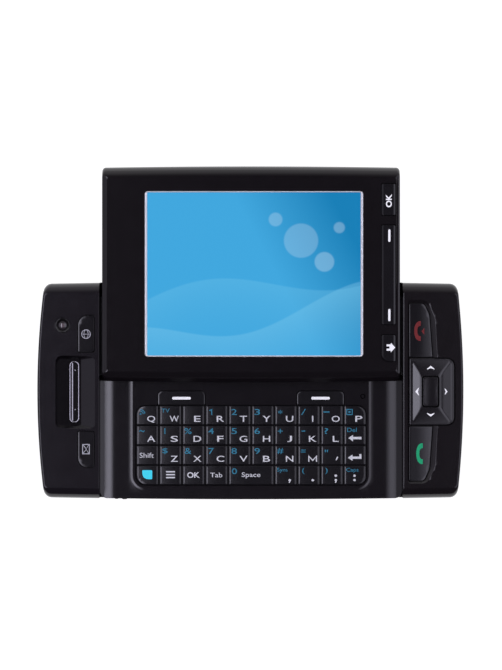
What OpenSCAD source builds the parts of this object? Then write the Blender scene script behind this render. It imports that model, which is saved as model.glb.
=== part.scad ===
// Side-slider phone, drawn open: a base with a keyboard deck between two
// raised end housings, and a display half that slides over the deck.
// Frame: origin on the back face, below the middle of the base.
// +X is to the right and +Y up as the keyboard is read, +Z out of the keys.

/* [Base] */
// Length of the base from end to end
base_len = 116.25; // [116:0.05:116.6]
// Width of the base across its long sides, at the middle
base_w = 59.5; // [59.3:0.1:59.7]
// Radius of the slight outward bow of the long sides
side_arc_r = 2780; // [2500:20:3200]
// Height of the two end housings above the back
cheek_h = 18.2; // [18.1:0.05:18.4]
// Height of the keyboard deck above the back
deck_h = 10.8; // [10.7:0.05:10.9]
// Radius of the curved left end, seen from the front
left_arc_r = 224; // [215:1:240]
// Radius of the curved right end
right_arc_r = 256; // [245:1:270]
// Radius of the long back edges
back_edge_r = 4.5; // [4.2:0.1:4.8]
// Width of the rounded band along the long front edges
band_w = 2.85; // [2.7:0.05:3]
// Drop of the rounded band
band_h = 3.5; // [3.3:0.1:3.7]
// Height at which the back and front housings meet
split_h = 5.6; // [5.5:0.05:5.7]
// Distance between the two end housings
bay_len = 82.8; // [82.7:0.05:82.9]
// Radius of the deck's shoulders beside the end housings
shoulder_r = 13; // [12:0.5:14]

/* [Display half] */
// Length of the display half
slider_len = 81.2; // [81:0.1:81.3]
// Width of the display half, at the middle
slider_w = 59; // [58.9:0.1:59.2]
// Height of its underside above the back
slider_under = 11.4; // [11.35:0.05:11.45]
// Height of its front face above the back
slider_top = 19; // [18.9:0.05:19.1]
// How far it is open: its middle from the middle of the base
slider_open = 31.75; // [31.65:0.05:31.85]

/* [Screen] */
// Outer length of the silver trim
trim_len = 59.4; // [59:0.1:59.6]
// Outer width of the silver trim
trim_wid = 45.2; // [44.8:0.1:45.4]
// Width of the trim at its two short sides
trim_side = 0.75; // [0.6:0.05:0.9]
// Width of the trim at its two long sides
trim_long = 0.4; // [0.3:0.05:0.5]

/* [Keyboard] */
// Pitch of the keys along a row
pitch_x = 6.32; // [6.28:0.01:6.34]
// Pitch of the rows
pitch_y = 5.475; // [5.44:0.005:5.49]
// Gap between neighbouring keys
key_gap = 0.2; // [0.16:0.02:0.3]
// Height of the key tops above the back
key_top = 11; // [10.8:0.05:11.1]
// Height of the raised key field above the deck
field_rise = 0.15; // [0.1:0.05:0.2]
// Radius of the plunger below each key
plunger_r = 0.9; // [0.7:0.05:1]

/* [Keys on the housings] */
// Height of the two call keys' tops
call_top = 18; // [17.9:0.05:18.1]
// Height of the direction pad's top
pad_top = 18.4; // [18.2:0.05:18.5]
// Clearance between a key and its opening
key_clear = 0.15; // [0.12:0.01:0.18]

/* [Hidden] */
$fn = 48;
hw = base_w / 2;
hl = base_len / 2 + 0.2;             // longer than either end reaches
function arc_r(s) = s > 0 ? right_arc_r : left_arc_r;
// The bay's middle is the origin, a little right of the middle of the length
function reach(s) = base_len / 2 - 0.17 * s;
function disc_x(s) = arc_r(s) - reach(s); // centre of an end arc, beyond the middle
bay = bay_len / 2;
sw = slider_w / 2;
sl = slider_len / 2;
band_r = (band_w * band_w + band_h * band_h) / (2 * band_w);
sband_w = 3;
sband_r = (sband_w * sband_w + band_h * band_h) / (2 * sband_w);
corner_r = 2.3;
corner_y = hw - 0.52 - corner_r;
function corner_x(s) = -disc_x(s) + sqrt(pow(arc_r(s) - corner_r, 2) - corner_y * corner_y);
slider_arc_r = 2330;                // bow of the display half's long sides
slider_bow = 0.34;                  // what that bow takes off at the corners
function shoulder_x(s) = s > 0 ? 36.4 : 37.3;   // where a shoulder of the deck begins
slider_split = 15.2;
web_under = 9.2;                    // underside of the deck's plate
cap_under = 9.5;                    // underside of a key cap
dome_top = 8.2;
key_x0 = -5 * pitch_x;
key_y1 = -4.1;
screw_pos = [[51.5, 24], [51.5, -24], [-51.5, 24], [-51.5, -24]];
slider_screw_pos = [[-36.5, -26], [-36.5, 26.1], [33.9, -26], [33.9, 26.1]];
soft_x = 19.05;                     // middle of a soft key
soft_y = -2.1;
rail_z0 = 12;
rail_z1 = 14.8;

// ---- helpers -------------------------------------------------------------

module box(x0, x1, y0, y1, z0, z1)
    translate([x0, y0, z0]) cube([x1 - x0, y1 - y0, z1 - z0]);

module rod(x, y, r, z0, z1, n = 32)
    translate([x, y, z0]) cylinder(r = r, h = z1 - z0, $fn = n);

function unit(v) = v / norm(v);

// Points along the rounding of one corner
function corner_points(a, b, c, r, n) =
    r <= 0 ? [b] :
    let (u = unit(a - b), v = unit(c - b), half = acos(u * v) / 2,
         m = b + unit(u + v) * r / sin(half),
         s = b + u * r / tan(half) - m, e = b + v * r / tan(half) - m,
         t0 = atan2(s[1], s[0]), d0 = atan2(e[1], e[0]) - t0,
         d = d0 > 180 ? d0 - 360 : (d0 < -180 ? d0 + 360 : d0))
    [for (i = [0:n]) m + r * [cos(t0 + d * i / n), sin(t0 + d * i / n)]];

// Outline through corners given as [x, y, radius]
function rounded(q, n = 5) =
    [for (i = [0:len(q) - 1])
        let (a = q[(i + len(q) - 1) % len(q)], b = q[i], c = q[(i + 1) % len(q)])
        each corner_points([a[0], a[1]], [b[0], b[1]], [c[0], c[1]], b[2], n)];

module plate(q, z0, z1, n = 5)
    translate([0, 0, z0]) linear_extrude(z1 - z0) polygon(rounded(q, n));

// Rectangle with one radius, as an outline for plate()
function rect(x0, x1, y0, y1, r) =
    [[x0, y0, r], [x1, y0, r], [x1, y1, r], [x0, y1, r]];

// What lies outside a rounded corner
module outside(cx, cy, r, sx, sy)
    difference() {
        translate([sx > 0 ? cx : cx - r - 1, sy > 0 ? cy : cy - r - 1])
            square([r + 1, r + 1]);
        translate([cx, cy]) circle(r, $fn = 96);
    }

// ---- outer shape of the base ----------------------------------------------

module base_profile()
    difference() {
        translate([-hw, 0]) square([base_w, cheek_h]);
        for (s = [-1, 1]) {
            outside(s * (hw - back_edge_r), back_edge_r, back_edge_r, s, -1);
            outside(s * (hw - band_r), cheek_h - band_h, band_r, s, 1);
        }
    }

module end_disc(s)
    translate([-s * disc_x(s), 0, 0])
        rotate_extrude($fn = 360)
            difference() {
                square([arc_r(s), cheek_h]);
                outside(arc_r(s) - 4, 4, 4, 1, -1);
                outside(arc_r(s) - 0.5, cheek_h - 0.5, 0.5, 1, 1);
            }

// What lies outside one rounded corner in plan; c is the corner's centre,
// and d the direction in which its arc ends
module corner_cut(c, r, d, sx, sy)
    let (k = r + 2)
    mirror([sx < 0 ? 1 : 0, 0, 0]) mirror([0, sy < 0 ? 1 : 0, 0])
        translate([0, 0, -1]) linear_extrude(22)
            difference() {
                polygon([c, c + k * d, c + [k, k], c + [0, k]]);
                translate(c) circle(r, $fn = 96);
            }

// Bowed long sides: half width w at the middle, on arcs of radius r
module bow(w, r, z0, z1)
    intersection_for(s = [-1, 1])
        translate([0, s * (w - r), z0]) cylinder(r = r, h = z1 - z0, $fn = 2400);

module base_outer(x0, x1, z0, z1)
    difference() {
        intersection() {
            translate([x0, 0, 0]) rotate([90, 0, 90])
                linear_extrude(x1 - x0) base_profile();
            if (x1 > bay + 1) end_disc(1);
            if (x0 < -bay - 1) end_disc(-1);
            box(x0, x1, -40, 40, z0, z1);
            bow(hw, side_arc_r, z0 - 1, z1 + 1);
        }
        for (sy = [-1, 1], sx = [-1, 1])
            if (sx > 0 ? x1 > bay + 1 : x0 < -bay - 1)
                corner_cut([corner_x(sx), corner_y], corner_r,
                           [corner_x(sx) + disc_x(sx), corner_y] / (arc_r(sx) - corner_r), sx, sy);
    }

// Space inside the base, a wall away from the curved end
module inner_space(s, x0, y1, z0, z1)
    intersection() {
        box(s > 0 ? x0 : -70, s > 0 ? 70 : -x0, -y1, y1, z0, z1);
        translate([-s * disc_x(s), 0, z0])
            cylinder(r = arc_r(s) - 1.5, h = z1 - z0, $fn = 360);
    }

// ---- base: housings --------------------------------------------------------

cover_x = 3.5;

module back_housing()
    color([0.11, 0.1, 0.12])
    difference() {
        union() {
            difference() {
                base_outer(-hl - 1, hl + 1, 0, split_h);
                // room for the battery cover
                box(cover_x, hl + 2, -40, 40, -1, 2.3);
                // inside, left of the battery cover
                intersection() {
                    box(-70, cover_x - 1.2, -27.5, 27.5, 3.2, split_h + 1);
                    inner_space(-1, -70, 27.5, 3, 7);
                }
                intersection() {
                    box(-55, cover_x - 1.2, -25.4, 25.4, 1.3, 4);
                    inner_space(-1, -70, 27.5, 1, 7);
                }
                // inside, above the battery cover
                intersection() {
                    box(cover_x, 70, -27.5, 27.5, 3.3, split_h + 1);
                    inner_space(1, cover_x, 27.5, 3, 7);
                }
            }
            // battery bay
            box(cover_x + 0.6, 54.2, -19.7, 19.7, 2.3, 6.7);
            for (p = screw_pos) rod(p[0], p[1], 2.2, p[0] > 0 ? 2.4 : 0.6, split_h);
        }
        box(cover_x + 1.5, 53.3, -18.8, 18.8, 1, 6.2);
        // grooves for the cover's hooked rails
        for (s = [-1, 1]) {
            box(cover_x + 1, 70, s > 0 ? 20 : -21, s > 0 ? 21 : -20, 2, 2.65);
            box(cover_x + 1, 70, s > 0 ? 20 : -21.5, s > 0 ? 21.5 : -20, 2.6, 3.2);
        }
        for (p = screw_pos) {
            rod(p[0], p[1], 0.85, -1, split_h + 1);
            rod(p[0], p[1], 1.5, -1, p[0] > 0 ? 3.45 : 2.2);
        }
        // connector mouth in the left end
        box(-70, -48, -3.95, 3.95, 1.9, 5.25);
        // camera window and sound slots in the back
        rod(-46, 14, 2.7, -1, 2);
        rod(-46, 14, 4.2, -1, 0.3);
        for (i = [-2:2]) box(-46.4 + 1.9 * i, -45.6 + 1.9 * i, -15, -9, -1, 2);
    }

module end_housing(s)
    difference() {
        union() {
            difference() {
                if (s > 0) base_outer(bay, hl + 1, split_h, cheek_h + 1);
                else base_outer(-hl - 1, -bay, split_h, cheek_h + 1);
                // deep inner space, and the shallow one above the rail
                inner_space(s, 44.4, 27.4, split_h - 1, 16.7);
                inner_space(s, 42.5, 27.0, 15.4, 16.7);
                // way for the circuit board
                inner_space(s, bay - 1, 24.5, split_h - 1, 7.7);
            }
            for (p = screw_pos) if (p[0] * s > 0) rod(p[0], p[1], 2.2, split_h, 16.8);
        }
        // channel for the rail
        if (s > 0) box(bay - 1, 43.9, -28.2, 26.3, rail_z0, rail_z1);
        else box(-43.9, -bay + 1, -28.2, 26.3, rail_z0, rail_z1);
        for (p = screw_pos) if (p[0] * s > 0) rod(p[0], p[1], 0.75, split_h - 1, 12);
    }

end_key = [[43.1, 9.1, 0.3], [49.6, 9.1, 0.3], [48.75, 20.6, 4], [47.3, 23.8, 1.6], [43.1, 23.8, 0.5]];
call_key_pts = [[43.1, -24.7, 0.5], [47.3, -24.7, 1.6], [48.75, -21.4, 4], [49.6, -9.7, 0.3], [43.1, -9.7, 0.3]];
pad = [[43.1, -9.45, 0.4], [55.5, -9.45, 2.2], [55.5, 8.85, 2.2], [43.1, 8.85, 0.4]];
browser_pts = [[-47.2, 10.5, 0.4], [-42.8, 10.5, 0.4], [-42.8, 20.5, 0.4], [-47.2, 20.5, 3]];
mail_pts = [[-47.2, -21, 3], [-42.8, -21, 0.4], [-42.8, -11.1, 0.4], [-47.2, -11.1, 0.4]];

// An outline pushed outwards by g, for outlines whose corners go round a middle
function grown(q, g) =
    let (x0 = min([for (p = q) p[0]]), x1 = max([for (p = q) p[0]]),
         y0 = min([for (p = q) p[1]]), y1 = max([for (p = q) p[1]]),
         cx = (x0 + x1) / 2, cy = (y0 + y1) / 2,
         kx = 1 + 2 * g / (x1 - x0), ky = 1 + 2 * g / (y1 - y0))
    [for (p = q) [cx + (p[0] - cx) * kx, cy + (p[1] - cy) * ky, p[2]]];

module left_end_housing()
    color([0.12, 0.11, 0.13])
    difference() {
        end_housing(-1);
        // scooped recess round the earpiece
        plate([[-53.3, -10.4, 1.4], [-42.6, -10.4, 0.8], [-42.6, 9.7, 0.8], [-53.3, 9.7, 1.4]],
              cheek_h - 0.7, cheek_h + 1);
        plate(rect(-49.6, -46.8, -8.8, 8.1, 1.3), 16, 19, 8);
        // front camera
        rod(-51.4, 17.8, 2.05, 16, 19);
        plate(grown(browser_pts, key_clear), 16, 19);
        plate(grown(mail_pts, key_clear), 16, 19);
    }

module right_end_housing()
    color([0.09, 0.07, 0.09])
    difference() {
        union() {
            end_housing(1);
            // posts that hold the key board
            for (y = [-18.5, 18.5]) rod(54, y, 1.1, 14.3, 16.8);
        }
        // scooped recess round the keys
        plate([[42.65, -25, 0.8], [48.1, -25, 2], [50.3, -20.5, 6], [50.8, -10, 0.4], [50.8, 9.4, 0.4],
               [50.2, 20, 6], [48.1, 24.6, 2], [42.65, 24.6, 0.8]], cheek_h - 0.6, cheek_h + 1);
        plate(grown(end_key, key_clear), 16, 19);
        plate(grown(call_key_pts, key_clear), 16, 19);
        plate(grown(pad, key_clear), 16, 19);
        box(43.05, 49.5, -10, 9.3, 16, 19);
        // slim key in the upper long side
        box(42, 45.8, 27, 31, 7.9, 10.1);
        box(41.6, 46.6, 25.4, 27.6, 7.4, 10.6);
    }

module deck_outer()
    intersection() {
        translate([-bay - 1, 0, 0]) rotate([90, 0, 90]) linear_extrude(bay_len + 2)
            difference() {
                translate([-hw, split_h]) square([base_w, deck_h - split_h]);
                for (s = [-1, 1]) outside(s * (hw - 0.4), deck_h - 0.4, 0.4, s, 1);
            }
        translate([0, 40, 0]) rotate([90, 0, 0]) linear_extrude(80)
            difference() {
                translate([-bay + 0.02, split_h]) square([bay_len - 0.04, deck_h - split_h]);
                for (s = [-1, 1]) outside(s * shoulder_x(s), deck_h - shoulder_r, shoulder_r, s, 1);
            }
        bow(hw, side_arc_r, split_h - 1, deck_h + 1);
    }

module keyboard_deck()
    color([0.13, 0.12, 0.14])
    difference() {
        union() {
            deck_outer();
            // raised field round the keys
            plate([[-33, -27.4, 4.1], [32.85, -27.4, 4.1], [32.85, 4.9, 0.5], [-33, 4.9, 0.5]],
                  deck_h - 0.5, deck_h + field_rise, 8);
        }
        for (s = [-1, 1]) corner_cut([bay - 2.02, hw - 2.3], 2, [1, 0], s, -1);
        box(-36.3, 36.3, -27.2, 27.2, split_h - 1, web_under);
        box(-bay - 1, bay + 1, -24.5, 24.5, split_h - 1, 7.7);
        // opening for the key matrix and for the two soft keys
        plate([[key_x0 - 0.15, key_y1 - 4 * pitch_y - 0.15, 2.4],
               [-key_x0 + 0.15, key_y1 - 4 * pitch_y - 0.15, 2.4],
               [-key_x0 + 0.15, key_y1 + 0.15, 2.2], [key_x0 - 0.15, key_y1 + 0.15, 2.2]],
              8, deck_h + 1, 6);
        for (s = [-1, 1])
            plate([[s * soft_x - 6.6, -4.6, 0], [s * soft_x + 6.6, -4.6, 0],
                   [s * soft_x + 6.6, -0.05, 1.3], [s * soft_x - 6.6, -0.05, 1.3]], 8, deck_h + 1);
        // slot for the display cable
        box(-7.6, 7.6, 5, 6.8, 8, 12);
        // opening for the side key
        box(-38.2, -33.4, -31, -27, 6.3, 8.4);
        box(-39, -32.6, -27.9, -26.3, 5.8, 8.6);
        // sound hole of the microphone
        rod(30.5, -1.7, 0.5, 8, 12, 24);
    }

// ---- base: inner pieces ------------------------------------------------------

// Centre of the key in column c (from 0) and row r (from 0)
function key_c(c, r) = [key_x0 + (c + 0.5) * pitch_x, key_y1 - (r + 0.5) * pitch_y];
key_centres = concat(
    [for (r = [0:2], c = [0:9]) key_c(c, r)],
    [for (c = [0, 1, 2, 3, 6, 7, 8, 9]) key_c(c, 3)],
    [key_c(4.5, 3)],
    [for (s = [-1, 1]) [s * soft_x, soft_y]]);

module keypad_mat()
    color([0.3, 0.3, 0.32])
    difference() {
        box(-33.6, 33.6, -27, 0.7, 8.6, web_under);
        for (p = key_centres) rod(p[0], p[1], plunger_r + 0.3, 8, 10, 24);
        rod(30.5, -1.7, 0.5, 8, 10, 24);
    }

module dome_board()
    color([0.75, 0.6, 0.3])
    union() {
        difference() {
            box(-33.6, 33.6, -27, 0.7, 7.5, 7.9);
            // corner left free for the side key
            box(-34, -32.5, -28, -26.1, 7, 8.2);
        }
        for (p = key_centres) rod(p[0], p[1], p[1] > -4 ? 1.6 : 2, 7.9, dome_top, 24);
    }

module main_board()
    color([0.05, 0.35, 0.2])
    difference() {
        union() {
            box(-47.5, 47.5, -24, 24, 6.7, 7.5);
            box(-55, 55, -21, 21, 6.7, 7.5);
            // socket for the display cable
            box(-7.6, 7.6, 6.3, 8.3, 7.5, 8.3);
        }
        box(-34, -30, -25, -20, 6, 8);
    }

module shield_cans()
    color([0.75, 0.76, 0.78])
    for (c = [[-37, -22, -19, -1], [-37, 2, -19, 20], [-16, -20, -9, 20]])
        difference() {
            box(c[0], c[2], c[1], c[3], 4.9, 6.7);
            box(c[0] + 0.3, c[2] - 0.3, c[1] + 0.3, c[3] - 0.3, 5.2, 7);
        }

module battery_pack()
    color([0.2, 0.22, 0.26])
    difference() {
        plate(rect(cover_x + 1.8, 53, -18.5, 18.5, 1.2), 1.5, 6.1);
        for (y = [-4, 0, 4]) box(cover_x + 1, cover_x + 2.2, y - 0.8, y + 0.8, 3, 5);
    }

module battery_cover()
    color([0.11, 0.1, 0.12])
    difference() {
        union() {
            difference() {
                intersection() {
                    base_outer(-hl - 1, hl + 1, 0, 2.2);
                    box(cover_x + 0.1, 70, -40, 40, -1, 3);
                }
                box(cover_x - 1, 54.6, -24.6, 24.6, 1.3, 3);
            }
            // hooked rails
            for (s = [-1, 1]) {
                box(cover_x + 1.2, 46, s > 0 ? 20.15 : -20.85, s > 0 ? 20.85 : -20.15, 1, 3.1);
                box(cover_x + 1.2, 46, s > 0 ? 20.15 : -21.4, s > 0 ? 21.4 : -20.15, 2.7, 3.1);
            }
        }
        // finger grooves
        for (i = [0:3]) box(8 + 1.6 * i, 8.8 + 1.6 * i, -7, 7, -1, 0.25);
    }

module usb_socket()
    color([0.75, 0.76, 0.78])
    difference() {
        plate(rect(-57, -49.5, -3.8, 3.8, 0), 2.05, 5.1);
        box(-60, -50.2, -3.4, 3.4, 2.45, 4.7);
    }

module earpiece_ring()
    color([0.8, 0.8, 0.84])
    union() {
        difference() {
            plate(rect(-49.57, -46.83, -8.77, 8.07, 1.3), 16.9, 17.95, 8);
            plate(rect(-49.15, -47.25, -8.35, 7.65, 0.9), 16, 19, 8);
        }
        box(-48.95, -48.55, -8.4, 7.7, 16.95, 17.5);
    }

module earpiece_mesh()
    color([0.08, 0.08, 0.09])
    plate(rect(-49.5, -46.9, -8.7, 8, 1.2), 16.55, 16.9, 8);

module earpiece_speaker()
    color([0.2, 0.2, 0.22])
    difference() {
        plate(rect(-51.2, -45.2, -7, 7, 1.5), 14.4, 16.5);
        plate(rect(-50.4, -46, -6.2, 6.2, 1), 16.2, 17);
    }

module front_camera_ring()
    color([0.3, 0.3, 0.33])
    difference() {
        rod(-51.4, 17.8, 2, 16.9, 18.3);
        rod(-51.4, 17.8, 1.25, 16, 19);
    }

module front_camera_lens()
    color([0.1, 0.05, 0.08])
    rod(-51.4, 17.8, 1.22, 17.3, 17.8);

module front_camera_module()
    color([0.1, 0.1, 0.1])
    union() {
        box(-53.8, -49, 15.4, 20.2, 12.5, 15.6);
        rod(-51.4, 17.8, 1.95, 15.6, 16.9);
    }

module rear_camera_lens()
    color([0.1, 0.08, 0.14])
    rod(-46, 14, 2.65, 0.5, 1.2);

module rear_camera_module()
    color([0.1, 0.1, 0.1])
    union() {
        box(-50.2, -41.8, 9.8, 18.2, 3, 6.6);
        rod(-46, 14, 3.4, 1.35, 3);
    }

module loudspeaker()
    color([0.2, 0.2, 0.22])
    union() {
        rod(-46, -12, 6, 1.4, 3.6);
        rod(-46, -12, 4.5, 3.6, 4.6);
    }

module vibration_motor()
    color([0.7, 0.7, 0.72])
    translate([50, -8, 10]) rotate([-90, 0, 0]) union() {
        cylinder(r = 2.1, h = 8, $fn = 32);
        translate([0, 0, 8]) cylinder(r = 0.5, h = 1.2, $fn = 24);
        difference() {
            translate([0, 0, 9]) cylinder(r = 1.9, h = 3, $fn = 32);
            translate([-3, 0.3, 8.5]) cube([6, 3, 5]);
        }
    }

module slide_rails()
    color([0.72, 0.73, 0.75])
    for (s = [-1, 1]) mirror([s < 0 ? 1 : 0, 0, 0])
        difference() {
            box(bay + 0.1, 43.85, -28.1, 26.2, rail_z0 + 0.02, rail_z1 - 0.02);
            box(bay - 1, 43.5, -29, 27, rail_z0 + 0.4, rail_z1 - 0.4);
        }

module screw(r, head_r, head_h, length)
    difference() {
        union() {
            cylinder(r = head_r, h = head_h, $fn = 32);
            translate([0, 0, head_h]) cylinder(r = r, h = length, $fn = 32);
        }
        for (a = [0, 90]) rotate([0, 0, a])
            translate([-head_r * 0.7, -0.15, -1]) cube([head_r * 1.4, 0.3, 1 + head_h * 0.55]);
    }

module housing_screws()
    color([0.25, 0.25, 0.27])
    for (p = screw_pos)
        translate([p[0], p[1], p[0] > 0 ? 2.35 : 1.1]) screw(0.72, 1.4, 1.1, 7);

module key_boards()
    color([0.05, 0.35, 0.2])
    union() {
        box(44.7, 55.4, -20.5, 20.5, 13.6, 14.3);
        for (p = [[46.4, 16], [46.4, -16.6], [49.05, -0.3], [49.6, 6.6], [49.6, -7.2], [45.9, -0.3], [53.6, -0.3]])
            rod(p[0], p[1], 1.2, 14.3, 14.6, 24);
        box(-48.8, -44.7, -22, 22, 13.6, 14.3);
        for (p = [[-45.9, 15.4], [-45.9, -16.1]]) rod(p[0], p[1], 1.1, 14.3, 14.6, 24);
    }

module sim_holder()
    color([0.75, 0.76, 0.78])
    difference() {
        box(-7.5, 2.1, -14, 12, 5.2, 6.7);
        box(-6.9, 3, -13, 11, 5.6, 6.4);
    }

// ---- display half --------------------------------------------------------------

module slider_outer(z0, z1)
    intersection() {
        translate([-sl - 1, 0, 0]) rotate([90, 0, 90]) linear_extrude(slider_len + 2)
            difference() {
                translate([-sw, slider_under]) square([slider_w, slider_top - slider_under]);
                for (s = [-1, 1]) {
                    outside(s * (sw - 1), slider_under + 1, 1, s, -1);
                    outside(s * (sw - sband_r), slider_top - band_h, sband_r, s, 1);
                }
            }
        translate([0, 40, 0]) rotate([90, 0, 0]) linear_extrude(80)
            difference() {
                translate([-sl, slider_under]) square([slider_len, slider_top - slider_under]);
                for (s = [-1, 1]) {
                    outside(s * (sl - 0.6), slider_under + 0.6, 0.6, s, -1);
                    outside(s * (sl - 0.5), slider_top - 0.5, 0.5, s, 1);
                }
            }
        box(-sl - 1, sl + 1, -40, 40, z0, z1);
        bow(sw, slider_arc_r, z0 - 1, z1 + 1);
        difference() {
            box(-sl - 1, sl + 1, -40, 40, z0, z1);
            for (sx = [-1, 1], sy = [-1, 1])
                corner_cut([sl - 1, sw - slider_bow - 1], 1, [1, 0], sx, sy);
        }
    }

module slider_back()
    color([0.12, 0.1, 0.13])
    translate([0, slider_open, 0])
    difference() {
        union() {
            difference() {
                slider_outer(slider_under - 1, slider_split);
                box(-38.6, 38.6, -27.2, 27.2, 12.5, 16);
            }
            // roof over the cable's pocket
            box(-9, 9, -28, 11.2, slider_under + 0.5, 13.5);
            for (p = slider_screw_pos) rod(p[0], p[1], 1.9, slider_under + 0.5, slider_split);
        }
        box(-8.2, 8.2, -27.5, 10.2, slider_under - 1, 12.8);
        box(-7.6, 7.6, 7.6, 8.8, 12, 14);
        for (s = [-1, 1])
            box(s > 0 ? 39.1 : -sl - 1, s > 0 ? sl + 1 : -39.1, -27.65, -6.05, rail_z0 + 0.45, rail_z1 - 0.45);
        for (p = slider_screw_pos) {
            rod(p[0], p[1], 0.75, 10, 16);
            rod(p[0], p[1], 1.3, 10, 12.45);
        }
    }

ok_pts = rect(35.55, 39.45, 16, 24.7, 0.4);
strip_pts = rect(35.55, 39.45, -13.8, 13.4, 0.4);
home_pts = [[35.55, -23.85, 2], [39.45, -23.85, 0.4], [39.45, -16.5, 0.4], [35.55, -16.5, 0.4]];
trim_cx = 0.9;
trim_cy = 0.05;

module slider_front()
    color([0.08, 0.07, 0.09])
    translate([0, slider_open, 0])
    difference() {
        union() {
            difference() {
                slider_outer(slider_split, slider_top + 1);
                box(-38.9, 39.7, -27.2, 27.2, slider_split - 1, 17.8);
            }
            for (p = slider_screw_pos) rod(p[0], p[1], 1.3, slider_split, 17.9);
        }
        plate(rect(trim_cx - trim_len / 2, trim_cx + trim_len / 2,
                   trim_cy - trim_wid / 2, trim_cy + trim_wid / 2, 0.9), 17, 20);
        plate(grown(ok_pts, key_clear), 17, 20);
        plate(grown(strip_pts, key_clear), 17, 20);
        plate(grown(home_pts, key_clear), 17, 20);
        for (p = slider_screw_pos) rod(p[0], p[1], 0.65, 15, 17.2);
    }

module display_trim()
    color([0.78, 0.79, 0.82])
    translate([trim_cx, slider_open + trim_cy, 0])
    difference() {
        plate(rect(-trim_len / 2 + 0.02, trim_len / 2 - 0.02, -trim_wid / 2 + 0.02, trim_wid / 2 - 0.02, 0.88),
              17.85, slider_top);
        plate(rect(-trim_len / 2 + trim_side, trim_len / 2 - trim_side,
                   -trim_wid / 2 + trim_long, trim_wid / 2 - trim_long, 0.4), 17, 20);
    }

module display_window()
    color([0.2, 0.62, 0.85])
    translate([trim_cx, slider_open + trim_cy, 0])
    plate(rect(-trim_len / 2 + trim_side + 0.02, trim_len / 2 - trim_side - 0.02,
               -trim_wid / 2 + trim_long + 0.02, trim_wid / 2 - trim_long - 0.02, 0.38),
          17.9, slider_top - 0.25);

module lcd_module()
    color([0.6, 0.62, 0.65])
    translate([0, slider_open, 0])
    union() {
        box(-31, 32.3, -24.5, 24.8, 15.5, 17.7);
        box(-28, 30, -22, 22.2, 17.7, 17.85);
    }

module slider_board()
    color([0.05, 0.35, 0.2])
    translate([0, slider_open, 0])
    difference() {
        union() {
            box(-38, 38.4, -26.8, 26.8, 14.2, 15);
            for (y = [20.4, 9.4, -9.8, -20.2]) rod(37.4, y, 1, 15, 15.3, 24);
        }
        for (p = slider_screw_pos) rod(p[0], p[1], 2.1, 14, 16);
    }

module slide_runners()
    color([0.78, 0.79, 0.82])
    translate([0, slider_open, 0])
    for (s = [-1, 1]) mirror([s < 0 ? 1 : 0, 0, 0])
        box(39.15, 43.4, -27.6, -6.1, rail_z0 + 0.5, rail_z1 - 0.5);

module display_flex()
    color([0.75, 0.5, 0.15])
    translate([-7, 0, 0]) rotate([90, 0, 90]) linear_extrude(14)
        union() {
            translate([5.8, 8.3]) square([0.15, 3.55]);
            intersection() {
                difference() {
                    translate([6.45, 11.85]) circle(0.65);
                    translate([6.45, 11.85]) circle(0.5);
                }
                translate([5, 11.85]) square([1.45, 2]);
            }
            translate([6.45, 12.35]) square([33.65, 0.15]);
            translate([39.95, 12.35]) square([0.15, 1.85]);
            translate([5.8, 8.3]) square([2, 0.15]);
        }

module slider_screws()
    color([0.25, 0.25, 0.27])
    translate([0, slider_open, 0])
    for (p = slider_screw_pos)
        translate([p[0], p[1], slider_under + 0.15]) screw(0.62, 1.2, 0.9, 4);

// ---- keys ------------------------------------------------------------------------

// One key cap with its plunger; q is [column, row, width in cells, corner radii]
module key(c, r, w = 1, rr = [0.35, 0.35, 0.35, 0.35])
    let (x0 = key_x0 + c * pitch_x + key_gap / 2, x1 = key_x0 + (c + w) * pitch_x - key_gap / 2,
         y1 = key_y1 - r * pitch_y - key_gap / 2, y0 = key_y1 - (r + 1) * pitch_y + key_gap / 2)
    union() {
        plate([[x0, y0, rr[0]], [x1, y0, rr[1]], [x1, y1, rr[2]], [x0, y1, rr[3]]], cap_under, key_top);
        rod((x0 + x1) / 2, (y0 + y1) / 2, plunger_r, dome_top + 0.3, cap_under, 24);
    }

letter = [0.2, 0.2, 0.22];

module letters_row_1()
    color(letter)
    for (c = [0:9])
        key(c, 0, 1, [0.35, 0.35, c == 9 ? 2.1 : 0.35, c == 0 ? 2 : 0.35]);

module letters_row_2() color(letter) for (c = [0:8]) key(c, 1);
module letters_row_3() color(letter) for (c = [1:8]) key(c, 2);
module punctuation_keys()
    color(letter)
    for (c = [6:9]) key(c, 3, 1, [0.35, c == 9 ? 2.2 : 0.35, 0.35, 0.35]);
module backspace_key() color(letter) key(9, 1);
module shift_key() color(letter) key(0, 2);
module enter_key() color(letter) key(9, 2);
module fn_key() color(letter) key(0, 3, 1, [2.6, 0.35, 0.35, 0.35]);
module start_key() color(letter) key(1, 3);
module ok_key() color(letter) key(2, 3);
module tab_key() color(letter) key(3, 3);
module space_key() color(letter) key(4, 3, 2);

module softkey(s)
    union() {
        plate([[s * soft_x - 6.45, -3.95, 0.3], [s * soft_x + 6.45, -3.95, 0.3],
               [s * soft_x + 6.45, -0.2, 1.2], [s * soft_x - 6.45, -0.2, 1.2]], cap_under, key_top - 0.1);
        rod(s * soft_x, soft_y, plunger_r, dome_top + 0.3, cap_under, 24);
    }
module softkey_left() color(letter) softkey(-1);
module softkey_right() color(letter) softkey(1);

// A key on an end housing: cap, flange under the housing's wall, plunger
module housing_key(q, px, py, top, f, z_stem = 14.9)
    union() {
        plate(q, 15.9, top);
        plate(f, 15.9, 16.55);
        rod(px, py, 0.8, z_stem, 15.95, 24);
    }

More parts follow.
